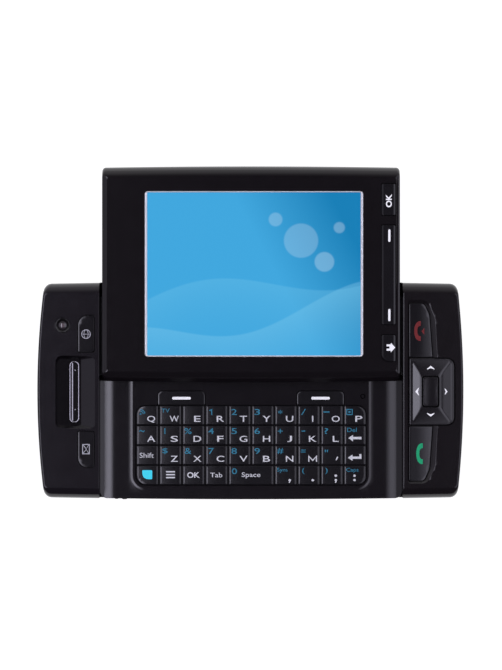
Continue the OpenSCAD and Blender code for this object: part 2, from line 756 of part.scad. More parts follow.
module browser_key()
    color([0.14, 0.13, 0.15])
    housing_key(browser_pts, -45.9, 15.4, 18.1, rect(-47.7, -42.7, 10, 21, 0.3));
module mail_key()
    color([0.14, 0.13, 0.15])
    housing_key(mail_pts, -45.9, -16.1, 18.1, rect(-47.7, -42.7, -21.5, -10.6, 0.3));
module end_key()
    color([0.12, 0.11, 0.13])
    housing_key(end_key, 46.4, 16, call_top, [[42.85, 10.2, 0.3], [49.25, 10.2, 0.3], [49.05, 21, 1], [47.8, 24.2, 1], [42.85, 24.2, 0.3]]);
module call_key()
    color([0.12, 0.11, 0.13])
    housing_key(call_key_pts, 46.4, -16.6, call_top, [[42.85, -25.1, 0.3], [47.8, -25.1, 1], [49.05, -21.9, 1], [49.25, -10.8, 0.3], [42.85, -10.8, 0.3]]);

module dpad_ring()
    color([0.15, 0.14, 0.16])
    difference() {
        union() {
            plate(pad, 16.75, pad_top);
            plate(rect(44.9, 54.3, -8.7, 8.1, 1), 16.05, 17);
        }
        plate(rect(46.6, 51.3, -4.55, 4, 0.6), 15, 20);
    }

// Rubber pad that carries the ring and presses the four outer domes
module dpad_actuator()
    color([0.5, 0.5, 0.5])
    difference() {
        union() {
            plate(rect(44.9, 54.9, -8.7, 8.1, 1), 15.25, 15.85);
            box(49.3, 49.9, 4.4, 7.6, 15.8, 16.04);
            box(49.3, 49.9, -8.2, -5, 15.8, 16.04);
            for (p = [[49.6, 6.6], [49.6, -7.2], [45.9, -0.3], [53.6, -0.3]]) rod(p[0], p[1], 0.7, 15, 15.3, 24);
        }
        plate(rect(46.65, 51.25, -4.5, 3.95, 0.6), 15, 20);
    }

module select_key()
    color([0.13, 0.12, 0.14])
    union() {
        plate(rect(46.9, 51, -4.25, 3.7, 0.5), 15.9, 18.3);
        rod(49.05, -0.3, 0.8, 14.9, 15.95, 24);
    }

module slider_key(q, py, f)
    union() {
        plate(q, 16.9, slider_top - 0.05);
        if (len(f) > 0) plate(f, 16.9, 17.65);
        for (y = py) rod(37.4, y, 0.7, 15.6, 16.95, 24);
    }

module front_ok_key()
    color([0.11, 0.1, 0.12])
    translate([0, slider_open, 0])
    slider_key(ok_pts, [20.4], rect(35.55, 39.45, 15.5, 25.2, 0.3));
module softkey_rocker()
    color([0.11, 0.1, 0.12])
    translate([0, slider_open, 0])
    slider_key(strip_pts, [9.4, -9.8], []);
module home_key()
    color([0.11, 0.1, 0.12])
    translate([0, slider_open, 0])
    slider_key(home_pts, [-20.2], rect(35.55, 39.45, -24.3, -16, 0.3));

module side_key()
    color([0.2, 0.2, 0.22])
    union() {
        box(-38.05, -33.55, -29.4, -27.2, 6.45, 8.25);
        box(-38.7, -32.9, -27.2, -26.7, 6, 8.5);
        translate([-36.9, -29.3, 7.35]) rotate([90, 0, 0]) cylinder(r = 0.5, h = 0.55, $fn = 24);
        translate([-34.7, -29.3, 7.35]) rotate([90, 0, 0]) cylinder(r = 0.75, h = 0.65, $fn = 24);
    }

module camera_key()
    color([0.2, 0.2, 0.22])
    union() {
        box(42.15, 45.65, 26.6, 29.3, 8.05, 9.95);
        box(41.8, 46.4, 26.1, 26.9, 7.6, 10.4);
    }

back_housing();
left_end_housing();
right_end_housing();
keyboard_deck();
keypad_mat();
dome_board();
main_board();
shield_cans();
battery_pack();
usb_socket();
earpiece_ring();
earpiece_mesh();
earpiece_speaker();
front_camera_ring();
front_camera_lens();
front_camera_module();
rear_camera_lens();
rear_camera_module();
loudspeaker();
vibration_motor();
slide_rails();
housing_screws();
key_boards();
sim_holder();
battery_cover();
slider_front();
slider_back();
display_window();
display_trim();
lcd_module();
slider_board();
slide_runners();
display_flex();
slider_screws();
letters_row_1();
letters_row_2();
letters_row_3();
punctuation_keys();
backspace_key();
shift_key();
enter_key();
fn_key();
start_key();
ok_key();
tab_key();
space_key();
softkey_left();
softkey_right();
browser_key();
mail_key();
end_key();
call_key();
dpad_actuator();
dpad_ring();
select_key();
front_ok_key();
softkey_rocker();
home_key();
side_key();
camera_key();
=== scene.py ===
import math

import bpy
import bmesh
import numpy as np
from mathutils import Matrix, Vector
from mathutils.geometry import delaunay_2d_cdt


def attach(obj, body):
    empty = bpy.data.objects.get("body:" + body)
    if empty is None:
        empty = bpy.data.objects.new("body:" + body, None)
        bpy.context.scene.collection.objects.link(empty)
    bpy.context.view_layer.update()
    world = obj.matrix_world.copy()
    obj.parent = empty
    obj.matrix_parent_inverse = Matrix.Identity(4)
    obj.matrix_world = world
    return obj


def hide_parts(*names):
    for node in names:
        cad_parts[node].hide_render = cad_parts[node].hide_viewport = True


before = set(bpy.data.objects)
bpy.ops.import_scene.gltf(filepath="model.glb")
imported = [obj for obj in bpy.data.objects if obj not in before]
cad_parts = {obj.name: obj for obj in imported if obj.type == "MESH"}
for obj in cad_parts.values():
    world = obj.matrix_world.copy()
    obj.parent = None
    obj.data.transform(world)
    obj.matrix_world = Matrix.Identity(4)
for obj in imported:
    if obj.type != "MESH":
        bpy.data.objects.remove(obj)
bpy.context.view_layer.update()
MM = 0.001

# ---------------------------------------------------------------- sizes (mm)
HW = 29.75                      # half width of the base at the middle
BOW = 1.8e-4                    # how fast the long sides come in: HW - BOW x^2
REACH = {-1: 58.295, 1: 57.955}
END_R = {-1: 224.0, 1: 256.0}
BAY = 41.4                      # inner faces of the end housings
ZC = 18.2                       # top of the end housings
ZD = 10.8                       # top of the keyboard deck
ZF = 10.88                      # top of the raised key field
ZS = 19.0                       # front face of the display half
SPLIT = 5.6
SSPLIT = 15.2
SL, SW, SY = 40.6, 29.5, 31.75  # display half: half length, half width, middle when open
SBOW = 0.35 / 40.6 ** 2
BAND_W, BAND_H = 2.85, 3.5
BAND_R = (BAND_W ** 2 + BAND_H ** 2) / (2 * BAND_W)
SB_W = 3.0
SB_R = (SB_W ** 2 + BAND_H ** 2) / (2 * SB_W)
PX, PY = 6.32, 5.475            # key pitches
KX0, KY1 = -5 * PX, -4.1
SOFT_X = 19.05


# ---------------------------------------------------------------- materials
def pmat(name, color, rough=0.4, metal=0.0, var=0.05, scale=260.0, bump=0.015, bump_scale=5200.0,
         rough_var=0.006, coat=0.0, spec=0.5, streak=None, emis=None):
    """Procedural surface: colour and roughness vary with noise, and a fine grain is in the bump."""
    m = bpy.data.materials.new(name)
    m.use_nodes = True
    nt = m.node_tree
    b = nt.nodes["Principled BSDF"]
    tc = nt.nodes.new("ShaderNodeTexCoord")
    mp = nt.nodes.new("ShaderNodeMapping")
    nt.links.new(tc.outputs["Object"], mp.inputs["Vector"])
    if streak:
        mp.inputs["Scale"].default_value = streak
    n1 = nt.nodes.new("ShaderNodeTexNoise")
    n1.inputs["Scale"].default_value = scale
    n1.inputs["Detail"].default_value = 4.0
    nt.links.new(mp.outputs["Vector"], n1.inputs["Vector"])
    cr = nt.nodes.new("ShaderNodeValToRGB")
    cr.color_ramp.elements[0].position = 0.3
    cr.color_ramp.elements[1].position = 0.7
    cr.color_ramp.elements[0].color = (*[c * (1 - var) for c in color], 1)
    cr.color_ramp.elements[1].color = (*[min(1, c * (1 + var)) for c in color], 1)
    nt.links.new(n1.outputs["Fac"], cr.inputs["Fac"])
    nt.links.new(cr.outputs["Color"], b.inputs["Base Color"])
    mr = nt.nodes.new("ShaderNodeMapRange")
    mr.inputs["From Min"].default_value = 0.3
    mr.inputs["From Max"].default_value = 0.7
    mr.inputs["To Min"].default_value = max(0.02, rough - rough_var)
    mr.inputs["To Max"].default_value = min(1.0, rough + rough_var)
    nt.links.new(n1.outputs["Fac"], mr.inputs["Value"])
    nt.links.new(mr.outputs["Result"], b.inputs["Roughness"])
    n2 = nt.nodes.new("ShaderNodeTexNoise")
    n2.inputs["Scale"].default_value = bump_scale
    n2.inputs["Detail"].default_value = 2.0
    nt.links.new(mp.outputs["Vector"], n2.inputs["Vector"])
    bp = nt.nodes.new("ShaderNodeBump")
    bp.inputs["Strength"].default_value = bump
    bp.inputs["Distance"].default_value = 0.0001
    nt.links.new(n2.outputs["Fac"], bp.inputs["Height"])
    nt.links.new(bp.outputs["Normal"], b.inputs["Normal"])
    b.inputs["Metallic"].default_value = metal
    b.inputs["Specular IOR Level"].default_value = spec
    if coat:
        b.inputs["Coat Weight"].default_value = coat
        b.inputs["Coat Roughness"].default_value = 0.12
    # emis makes the surface give off light of its own: a painted glow
    if emis:
        b.inputs["Emission Color"].default_value = (*color, 1)
        b.inputs["Emission Strength"].default_value = emis
    return m


MAT = {
    "housing": pmat("satin_black_plastic", (0.0105, 0.0082, 0.0118), 0.115),
    # darker copy of the housing plastic for the right end housing: painted shade, as less light falls on that side
    "housing_r": pmat("satin_black_plastic_painted_shade", (0.0092, 0.0068, 0.0088), 0.115),
    "deck": pmat("deck_plastic", (0.0088, 0.0068, 0.0094), 0.125),
    "field": pmat("key_field_plastic", (0.0094, 0.0074, 0.0100), 0.115),
    "front": pmat("gloss_black_front", (0.0066, 0.0046, 0.0066), 0.10, coat=0.15, bump=0.008),
    # dull, barely shiny copy of the front plastic for its side towards -Y: painted shade that dulls that side's
    # reflection of the pale floor
    "front_edge": pmat("front_side_painted_shade", (0.0098, 0.0072, 0.0098), 0.45, spec=0.10),
    # darker copy of the housing plastic for the earpiece scoop: painted shade in the recess
    "scoop": pmat("scoop_painted_shade", (0.0050, 0.0040, 0.0054), 0.115, spec=0.24),
    # near-black, dull: painted shade for the inside of holes and the gaps round keys
    "pit": pmat("gap_and_pit_painted_shade", (0.0020, 0.0018, 0.0022), 0.5, spec=0.05),
    "key": pmat("keycap_plastic", (0.0110, 0.0100, 0.0125), 0.125),
    "hkey": pmat("housing_key_plastic", (0.0092, 0.0080, 0.0104), 0.115),
    "pad": pmat("pad_plastic", (0.0115, 0.0098, 0.0122), 0.125),
    "trim": pmat("silver_trim", (0.86, 0.87, 0.90), 0.36, metal=0.35, bump=0.0, var=0.02),
    "chrome": pmat("chrome_ring", (0.42, 0.41, 0.45), 0.14, metal=1.0, bump=0.0, var=0.03),
    "steel": pmat("pressed_steel", (0.52, 0.53, 0.55), 0.32, metal=1.0, bump=0.06, scale=700, var=0.08, streak=(1, 14, 1)),
    # rails and runners get a near-black steel: painted shade, as they lie in the shadow of the display half
    "rail": pmat("steel_painted_shade", (0.020, 0.020, 0.022), 0.50, metal=0.6, bump=0.06, scale=700, var=0.1, streak=(1, 14, 1)),
    "screw": pmat("black_zinc", (0.09, 0.09, 0.10), 0.38, metal=0.9, bump=0.08, scale=1500, var=0.2),
    "camera": pmat("camera_bezel", (0.006, 0.005, 0.006), 0.10, bump=0.01),
    "lens": pmat("coated_lens", (0.030, 0.024, 0.029), 0.08, bump=0.0, coat=0.6, var=0.2, spec=0.7),
    "pupil": pmat("lens_inner", (0.060, 0.028, 0.037), 0.10, bump=0.0, coat=0.6, var=0.2, spec=0.7),
    "board": pmat("solder_mask", (0.010, 0.085, 0.045), 0.35, bump=0.25, scale=1400, bump_scale=900, var=0.35),
    "gold": pmat("gold_contacts", (0.62, 0.43, 0.16), 0.28, metal=1.0, bump=0.08, scale=900, var=0.12),
    "rubber": pmat("dark_silicone", (0.012, 0.012, 0.013), 0.65, bump=0.3, scale=900, var=0.12),
    "module": pmat("module_black", (0.018, 0.018, 0.020), 0.50, bump=0.3, scale=1200, var=0.25),
    "battery": pmat("battery_jacket", (0.045, 0.055, 0.075), 0.42, bump=0.15, scale=350, var=0.15),
    "flex": pmat("polyimide", (0.45, 0.20, 0.035), 0.30, bump=0.15, scale=1600, var=0.18, streak=(9, 1, 1)),
    "mesh": pmat("woven_mesh", (0.004, 0.004, 0.005), 0.60, bump=0.9, scale=2400, bump_scale=2600, var=0.5, spec=0.15),
    # the printed marks below also glow a little: painted light on top of their print colour
    "white": pmat("printed_white_painted_glow", (0.78, 0.79, 0.83), 0.45, scale=2500, var=0.03, emis=0.10),
    "blue": pmat("printed_blue_painted_glow", (0.034, 0.24, 0.37), 0.45, spec=0.2, scale=2500, var=0.05, emis=0.12),
    "lit": pmat("printed_bright_white_painted_glow", (0.86, 0.86, 0.90), 0.45, scale=2500, var=0.02, emis=0.42),
    "cyan": pmat("printed_cyan_painted_glow", (0.03, 0.72, 0.90), 0.45, scale=2500, var=0.04, emis=0.30),
    "red": pmat("printed_red_painted_glow", (0.20, 0.024, 0.026), 0.45, spec=0.15, scale=2500, var=0.05, emis=0.10),
    "green": pmat("printed_green_painted_glow", (0.009, 0.34, 0.15), 0.45, spec=0.2, scale=2500, var=0.05, emis=0.30),
    "pink": pmat("printed_pink_painted_glow", (0.52, 0.30, 0.33), 0.45, scale=2500, var=0.05, emis=0.10),
    "bars": pmat("printed_grey_white_painted_glow", (0.58, 0.58, 0.64), 0.45, scale=2500, var=0.04, emis=0.05),
}


def screen_material():
    """Lit display: a generic blue wallpaper of soft waves and discs, drawn with node math."""
    m = bpy.data.materials.new("lit_display")
    m.use_nodes = True
    nt = m.node_tree
    b = nt.nodes["Principled BSDF"]
    new = nt.nodes.new

    def link(a, b_):
        nt.links.new(a, b_)

    def math_(op, a, c=None, clamp=False):
        n = new("ShaderNodeMath")
        n.operation = op
        n.use_clamp = clamp
        for i, v in enumerate((a, c)):
            if v is None:
                continue
            if isinstance(v, (int, float)):
                n.inputs[i].default_value = v
            else:
                link(v, n.inputs[i])
        return n.outputs[0]

    def mix(fac, a, c):
        n = new("ShaderNodeMix")
        n.data_type = "RGBA"
        link(fac, n.inputs[0])
        for i, v in ((6, a), (7, c)):
            if isinstance(v, tuple):
                n.inputs[i].default_value = (*v, 1)
            else:
                link(v, n.inputs[i])
        return n.outputs[2]

    tc = new("ShaderNodeTexCoord")
    sp = new("ShaderNodeSeparateXYZ")
    link(tc.outputs["Object"], sp.inputs[0])
    # picture coordinates from 0 to 1 over the lit area
    u = math_("MULTIPLY", math_("ADD", sp.outputs[0], 0.02805), 1 / 0.0579)
    v = math_("MULTIPLY", math_("SUBTRACT", sp.outputs[1], 0.0098), 1 / 0.0444)
    # base gradient: mid blue, deeper towards the upper right
    g = math_("ADD", math_("MULTIPLY", math_("SUBTRACT", u, 0.62), 2.2), math_("MULTIPLY", math_("SUBTRACT", v, 0.45), 0.9), clamp=True)
    col = mix(g, (0.050, 0.400, 0.755), (0.004, 0.215, 0.480))

    def wave(base, amp, freq, phase, slope):
        s = math_("SINE", math_("ADD", math_("MULTIPLY", u, freq), phase))
        h = math_("ADD", math_("MULTIPLY", s, amp), math_("ADD", math_("MULTIPLY", u, slope), base))
        return math_("SUBTRACT", v, h)

    def soft_step(x, width):
        return math_("ADD", math_("MULTIPLY", x, 1 / width), 0.5, clamp=True)

    # two broad waves across the lower part, lighter along their upper edges
    for base, amp, freq, phase, slope, tint, power in (
            (0.30, 0.10, 4.6, 0.4, 0.22, (0.16, 0.58, 0.86), 2.2),
            (0.10, 0.09, 5.4, 2.3, 0.26, (0.22, 0.64, 0.90), 2.0)):
        d = wave(base, amp, freq, phase, slope)
        below = math_("SUBTRACT", 1.0, soft_step(d, 0.010))
        fade = math_("POWER", math_("SUBTRACT", 1.0, math_("ABSOLUTE", math_("MULTIPLY", d, 1.7)), clamp=True), power)
        col = mix(math_("MULTIPLY", math_("MULTIPLY", below, fade), 0.30), col, tint)
    # a few pale discs
    for cx, cy, r, a in ((0.72, 0.70, 0.105, 0.20), (0.83, 0.57, 0.060, 0.26), (0.60, 0.83, 0.042, 0.22), (0.90, 0.78, 0.034, 0.24)):
        dx = math_("MULTIPLY", math_("SUBTRACT", u, cx), 1.304)
        dy = math_("SUBTRACT", v, cy)
        dist = math_("SQRT", math_("ADD", math_("MULTIPLY", dx, dx), math_("MULTIPLY", dy, dy)))
        inside = math_("SUBTRACT", 1.0, soft_step(math_("SUBTRACT", dist, r), 0.010))
        col = mix(math_("MULTIPLY", inside, a), col, (0.55, 0.85, 1.0))
    # fine noise grain over the picture
    br = new("ShaderNodeTexNoise")
    br.inputs["Scale"].default_value = 9000.0
    link(tc.outputs["Object"], br.inputs["Vector"])
    grain = math_("ADD", math_("MULTIPLY", br.outputs["Fac"], 0.08), 0.96)
    hs = new("ShaderNodeMix")
    hs.data_type = "RGBA"
    hs.blend_type = "MULTIPLY"
    hs.inputs[0].default_value = 1.0
    link(col, hs.inputs[6])
    cc = new("ShaderNodeCombineColor")
    for i in range(3):
        link(grain, cc.inputs[i])
    link(cc.outputs[0], hs.inputs[7])
    link(hs.outputs[2], b.inputs["Emission Color"])
    b.inputs["Emission Strength"].default_value = 0.93
    b.inputs["Base Color"].default_value = (0.004, 0.02, 0.04, 1)
    b.inputs["Roughness"].default_value = 0.12
    return m


MAT["screen"] = screen_material()


# ---------------------------------------------------------------- outlines
def rpoly(q, n=6):
    """Outline through corners (x, y, radius), counter-clockwise, n+1 points a corner."""
    out = []
    k = len(q)
    for i in range(k):
        a, b, c = (np.array(q[(i + j) % k][:2], float) for j in (-1, 0, 1))
        r = max(q[i][2], 0.004)
        u = (a - b) / np.linalg.norm(a - b)
        v = (c - b) / np.linalg.norm(c - b)
        half = math.acos(max(-1, min(1, float(u @ v)))) / 2
        w = (u + v) / np.linalg.norm(u + v)
        m = b + w * r / math.sin(half)
        s = b + u * r / math.tan(half) - m
        e = b + v * r / math.tan(half) - m
        t0 = math.atan2(s[1], s[0])
        d = math.atan2(e[1], e[0]) - t0
        d = (d + math.pi) % (2 * math.pi) - math.pi
        for j in range(n + 1):
            t = t0 + d * j / n
            out.append((m[0] + r * math.cos(t), m[1] + r * math.sin(t)))
    return out


def off(q, d):
    """Corners moved inwards by d (outwards if negative), radii with them."""
    k = len(q)
    lines = []
    for i in range(k):
        a, b = np.array(q[i][:2], float), np.array(q[(i + 1) % k][:2], float)
        t = (b - a) / np.linalg.norm(b - a)
        nrm = np.array([-t[1], t[0]])
        lines.append((a + nrm * d, t))
    out = []
    for i in range(k):
        (p, t), (s, u) = lines[i - 1], lines[i]
        den = t[0] * u[1] - t[1] * u[0]
        if abs(den) < 1e-6:
            x = s
        else:
            x = p + t * (((s[0] - p[0]) * u[1] - (s[1] - p[1]) * u[0]) / den)
        turn = den > 0
        out.append((x[0], x[1], max(0.004, q[i][2] - d if turn else q[i][2] + d)))
    return out


def rect(x0, x1, y0, y1, r):
    r = r if isinstance(r, (list, tuple)) else [r] * 4
    return [(x0, y0, r[0]), (x1, y0, r[1]), (x1, y1, r[2]), (x0, y1, r[3])]


def inside(p, loop):
    x, y = p[:, 0], p[:, 1]
    L = np.array(loop)
    a, b = L, np.roll(L, -1, 0)
    hit = np.zeros(len(p), bool)
    for (x0, y0), (x1, y1) in zip(a, b):
        if y0 == y1:
            continue
        c = (y > min(y0, y1)) & (y <= max(y0, y1))
        hit ^= c & (x < (x1 - x0) * (y - y0) / (y1 - y0) + x0)
    return hit


# ---------------------------------------------------------------- mesh builder
class Mesh:
    def __init__(self):
        self.v, self.f = [], []

    def ring(self, pts, z):
        n = len(self.v)
        for x, y in pts:
            self.v.append((x, y, z(x, y) if callable(z) else z))
        return list(range(n, n + len(pts)))

    def strip(self, a, b, flip=False):
        n = len(a)
        for i in range(n):
            j = (i + 1) % n
            q = (a[i], a[j], b[j], b[i])
            self.f.append(q[::-1] if flip else q)

    def cap(self, outer, holes=(), zf=None, grid=0, up=True, extra=()):
        loops = [outer, *holes]
        idx = [i for l in loops for i in l]
        pts = [Vector(self.v[i][:2]) for i in idx]
        edges, k = [], 0
        for l in loops:
            edges += [(k + i, k + (i + 1) % len(l)) for i in range(len(l))]
            k += len(l)
        loops2 = [[self.v[i][:2] for i in l] for l in loops]
        more = np.array(extra, float).reshape(-1, 2)
        if grid:
            o = np.array(loops2[0])
            lo, hi = o.min(0), o.max(0)
            nx = max(1, int(round((hi[0] - lo[0]) / grid)))
            ny = max(1, int(round((hi[1] - lo[1]) / grid)))
            gx = lo[0] + (np.arange(nx) + 0.5) * (hi[0] - lo[0]) / nx
            gy = lo[1] + (np.arange(ny) + 0.5) * (hi[1] - lo[1]) / ny
            more = np.vstack([more, np.array(np.meshgrid(gx, gy)).reshape(2, -1).T])
        if len(more):
            keep = inside(more, loops2[0])
            for l in loops2[1:]:
                keep &= ~inside(more, l)
            more = more[keep]
            allb = np.array([p for l in loops2 for p in l])
            near = (grid or 0.3) * 0.45
            ok = []
            for p in more:
                if np.min(np.hypot(*(allb - p).T)) > near:
                    ok.append(p)
            for p in ok:
                pts.append(Vector(p))
                idx.append(len(self.v))
                self.v.append((p[0], p[1], zf(p[0], p[1]) if zf else self.v[outer[0]][2]))
        vo, _, fo, ov, _, _ = delaunay_2d_cdt(pts, edges, [], 0, 1e-7)
        src = [o[0] if o else None for o in ov]
        fo = [t for t in fo if all(src[i] is not None for i in t)]
        c = np.array([[sum(vo[i][0] for i in t) / 3, sum(vo[i][1] for i in t) / 3] for t in fo])
        keep = inside(c, loops2[0])
        for l in loops2[1:]:
            keep &= ~inside(c, l)
        for t, k_ in zip(fo, keep):
            if not k_:
                continue
            a, b, d = (idx[src[i]] for i in t)
            pa, pb, pd = self.v[a], self.v[b], self.v[d]
            ccw = (pb[0] - pa[0]) * (pd[1] - pa[1]) - (pb[1] - pa[1]) * (pd[0] - pa[0]) > 0
            self.f.append((a, b, d) if ccw == up else (d, b, a))

    def obj(self, name, mat, angle=32):
        me = bpy.data.meshes.new(name)
        me.from_pydata([(x * MM, y * MM, z * MM) for x, y, z in self.v], [], self.f)
        bm = bmesh.new()
        bm.from_mesh(me)
        bmesh.ops.remove_doubles(bm, verts=bm.verts, dist=1e-7)
        bmesh.ops.delete(bm, geom=[v for v in bm.verts if not v.link_faces], context="VERTS")
        bmesh.ops.recalc_face_normals(bm, faces=bm.faces)
        bm.to_mesh(me)
        bm.free()
        return finish_mesh(name, me, mat, angle)


def finish_mesh(name, me, mat, angle=32):
    me.polygons.foreach_set("use_smooth", [True] * len(me.polygons))
    me.set_sharp_from_angle(angle=math.radians(angle))
    o = bpy.data.objects.new(name, me)
    bpy.context.scene.collection.objects.link(o)
    for m in (mat if isinstance(mat, (list, tuple)) else [mat]):
        me.materials.append(MAT[m] if isinstance(m, str) else m)
    return o


def place(o, body, slot, *nodes):
    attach(o, body)
    if nodes:
        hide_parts(*nodes)
    return o


def painted_shade_rim(o):
    """Paints the cut edges of a cap near-black and dull: painted shade in the gap round the key. Only its top face
    shines.
    """
    o.data.materials.append(MAT["pit"])
    for p in o.data.polygons:
        if abs(p.normal.z) < 0.985:
            p.material_index = len(o.data.materials) - 1


def fillet(r, n=5, start=0):
    """(inset, height below the top) from the wall to the top face."""
    return [(r * (1 - math.cos(t)), -r * (1 - math.sin(t)))
            for t in (math.pi / 2 * i / n for i in range(start, n + 1))]


def plate(m, q, z0, z1, r=0.2, n=6, zf=None, holes=(), grid=0, seg=4, bottom_r=0.06):
    """A plate with a rounded upper edge. holes are (corners, profile, floor): profile is
    [(growth, depth)] from the top edge downwards, and floor is a function drawing the floor, or None."""
    z = zf or (lambda x, y: 0.0)
    loop = lambda d: rpoly(off(q, d), n)
    a = m.ring(loop(bottom_r), z0)
    bottom = a
    b = m.ring(loop(0), z0 + bottom_r)
    m.strip(a, b)
    a = b
    for d, h in fillet(r, seg):
        b = m.ring(loop(d), lambda x, y, h=h: z1 + h + z(x, y))
        m.strip(a, b)
        a = b
    tops, feet = [], []
    for hq, profile, floor in holes:
        prev = None
        for g, dep in profile:
            c = m.ring(rpoly(off(hq, -g), n), lambda x, y, dep=dep: z1 - dep + z(x, y))
            if prev is None:
                tops.append(c)
            else:
                m.strip(c, prev)
            prev = c
        if floor is None:
            c = m.ring([m.v[i][:2] for i in prev], z0)
            m.strip(c, prev)
            feet.append(c)
        else:
            floor(m, prev)
    m.cap(a, tops, lambda x, y: z1 + z(x, y), grid)
    m.cap(bottom, feet, None, 0, up=False)
    return m


def cut(o, cutters, angle=30):
    """Takes boxes or rods out of a piece: ("box", x0, x1, y0, y1, z0, z1) or ("rod", x, y, r, z0, z1)."""
    bm = bmesh.new()
    for c in cutters:
        if c[0] == "box":
            _, x0, x1, y0, y1, z0, z1 = c
            vs = [bm.verts.new((x * MM, y * MM, z * MM)) for z in (z0, z1) for x, y in ((x0, y0), (x1, y0), (x1, y1), (x0, y1))]
            for f in ((3, 2, 1, 0), (4, 5, 6, 7), (0, 1, 5, 4), (1, 2, 6, 5), (2, 3, 7, 6), (3, 0, 4, 7)):
                bm.faces.new([vs[i] for i in f])
        else:
            _, x, y, r, z0, z1 = c
            k = 28
            lo = [bm.verts.new(((x + r * math.cos(t)) * MM, (y + r * math.sin(t)) * MM, z0 * MM)) for t in (2 * math.pi * i / k for i in range(k))]
            hi = [bm.verts.new((v.co.x, v.co.y, z1 * MM)) for v in lo]
            bm.faces.new(lo[::-1])
            bm.faces.new(hi)
            for i in range(k):
                j = (i + 1) % k
                bm.faces.new((lo[i], lo[j], hi[j], hi[i]))
    me = bpy.data.meshes.new("cutter")
    bm.to_mesh(me)
    bm.free()
    co = bpy.data.objects.new("cutter", me)
    bpy.context.scene.collection.objects.link(co)
    md = o.modifiers.new("cut", "BOOLEAN")
    md.object = co
    md.operation = "DIFFERENCE"
    md.solver = "EXACT"
    dg = bpy.context.evaluated_depsgraph_get()
    new = bpy.data.meshes.new_from_object(o.evaluated_get(dg))
    o.modifiers.clear()
    mats = list(o.data.materials)
    o.data = new
    new.materials.clear()
    for x in mats:
        new.materials.append(x)
    new.polygons.foreach_set("use_smooth", [True] * len(new.polygons))
    new.set_sharp_from_angle(angle=math.radians(angle))
    bpy.data.objects.remove(co)
    return o


# ---------------------------------------------------------------- printed marks
class Marks:
    """Thin printed shapes that lie on a key's surface."""

    def __init__(self, zf, lift=0.03):
        self.v, self.f, self.zf, self.lift = [], [], zf, lift

    def poly(self, pts):
        n = len(self.v)
        vo, _, fo, _, _, _ = delaunay_2d_cdt([Vector(p) for p in pts], [(i, (i + 1) % len(pts)) for i in range(len(pts))], [], 1, 1e-7)
        self.v += [tuple(p) for p in vo]
        self.f += [tuple(n + i for i in t) for t in fo]

    def stroke(self, pts, w, closed=False):
        p = [np.array(x, float) for x in pts]
        k = len(p)
        L, R = [], []
        for i in range(k):
            a = p[i - 1] if (i > 0 or closed) else None
            c = p[(i + 1) % k] if (i < k - 1 or closed) else None
            ds = [d / max(np.linalg.norm(d), 1e-9) for d in ([p[i] - a] if a is not None else []) + ([c - p[i]] if c is not None else [])]
            t = sum(ds)
            t = t / max(np.linalg.norm(t), 1e-9)
            nn = np.array([-t[1], t[0]])
            s = 1.0
            if len(ds) == 2:
                s = 1 / max(0.45, abs(float(nn @ np.array([-ds[0][1], ds[0][0]]))))
            L.append(p[i] + nn * w / 2 * s)
            R.append(p[i] - nn * w / 2 * s)
        n = len(self.v)
        self.v += [tuple(x) for x in L] + [tuple(x) for x in R]
        for i in range(k if closed else k - 1):
            j = (i + 1) % k
            self.f.append((n + i, n + k + i, n + k + j, n + j))

    def arc(self, cx, cy, r, a0, a1, w, k=18, sy=1.0):
        full = abs(a1 - a0) >= 360
        pts = [(cx + r * math.cos(math.radians(a0 + (a1 - a0) * i / k)), cy + r * sy * math.sin(math.radians(a0 + (a1 - a0) * i / k))) for i in range(k if full else k + 1)]
        self.stroke(pts, w, full)

    def disc(self, cx, cy, r, k=20):
        self.poly([(cx + r * math.cos(2 * math.pi * i / k), cy + r * math.sin(2 * math.pi * i / k)) for i in range(k)])

    def bar(self, x0, x1, y0, y1, r=None):
        r = min(x1 - x0, y1 - y0) / 2 * 0.98 if r is None else r
        self.poly(rpoly(rect(x0, x1, y0, y1, r), 5))

    def text(self, s, cx, cy, h, wide=1.25, bold=0.02, rot=0.0):
        """Text centred at (cx, cy), h is the height of a capital."""
        vs, fs = glyphs(s, bold)
        k = h / 0.70
        c, sn = math.cos(math.radians(rot)), math.sin(math.radians(rot))
        n = len(self.v)
        for x, y in vs:
            x, y = x * k * wide, y * k
            self.v.append((cx + x * c - y * sn, cy + x * sn + y * c))
        self.f += [tuple(n + i for i in f) for f in fs]

    def fit(self, s, x0, x1, y0, y1, bold=0.006):
        """Text stretched into a rectangle."""
        vs, fs = glyphs(s, bold)
        ax, bx = min(v[0] for v in vs), max(v[0] for v in vs)
        ay, by = min(v[1] for v in vs), max(v[1] for v in vs)
        n = len(self.v)
        for x, y in vs:
            self.v.append((x0 + (x - ax) * (x1 - x0) / (bx - ax), y0 + (y - ay) * (y1 - y0) / (by - ay)))
        self.f += [tuple(n + i for i in f) for f in fs]

    def obj(self, name, mat):
        me = bpy.data.meshes.new(name)
        me.from_pydata([(x, y, 0) for x, y in self.v], [], self.f)
        bm = bmesh.new()
        bm.from_mesh(me)
        bmesh.ops.triangulate(bm, faces=bm.faces)
        for _ in range(3):
            long = [e for e in bm.edges if e.calc_length() > 0.7]
            if not long:
                break
            bmesh.ops.subdivide_edges(bm, edges=long, cuts=1)
            bmesh.ops.triangulate(bm, faces=bm.faces)
        bmesh.ops.remove_doubles(bm, verts=bm.verts, dist=1e-4)
        for f in bm.faces:
            if f.normal.z < 0:
                f.normal_flip()
        for v in bm.verts:
            v.co.z = self.zf(v.co.x, v.co.y) + self.lift
        # give the print a thickness, so that it is a closed body on the key
        r = bmesh.ops.extrude_face_region(bm, geom=list(bm.faces))
        for g in r["geom"]:
            if isinstance(g, bmesh.types.BMVert):
                g.co.z -= self.lift + 0.03
        bmesh.ops.recalc_face_normals(bm, faces=bm.faces)
        for v in bm.verts:
            v.co *= MM
        bm.to_mesh(me)
        bm.free()
        return finish_mesh(name, me, mat, 40)

_glyphs = {}


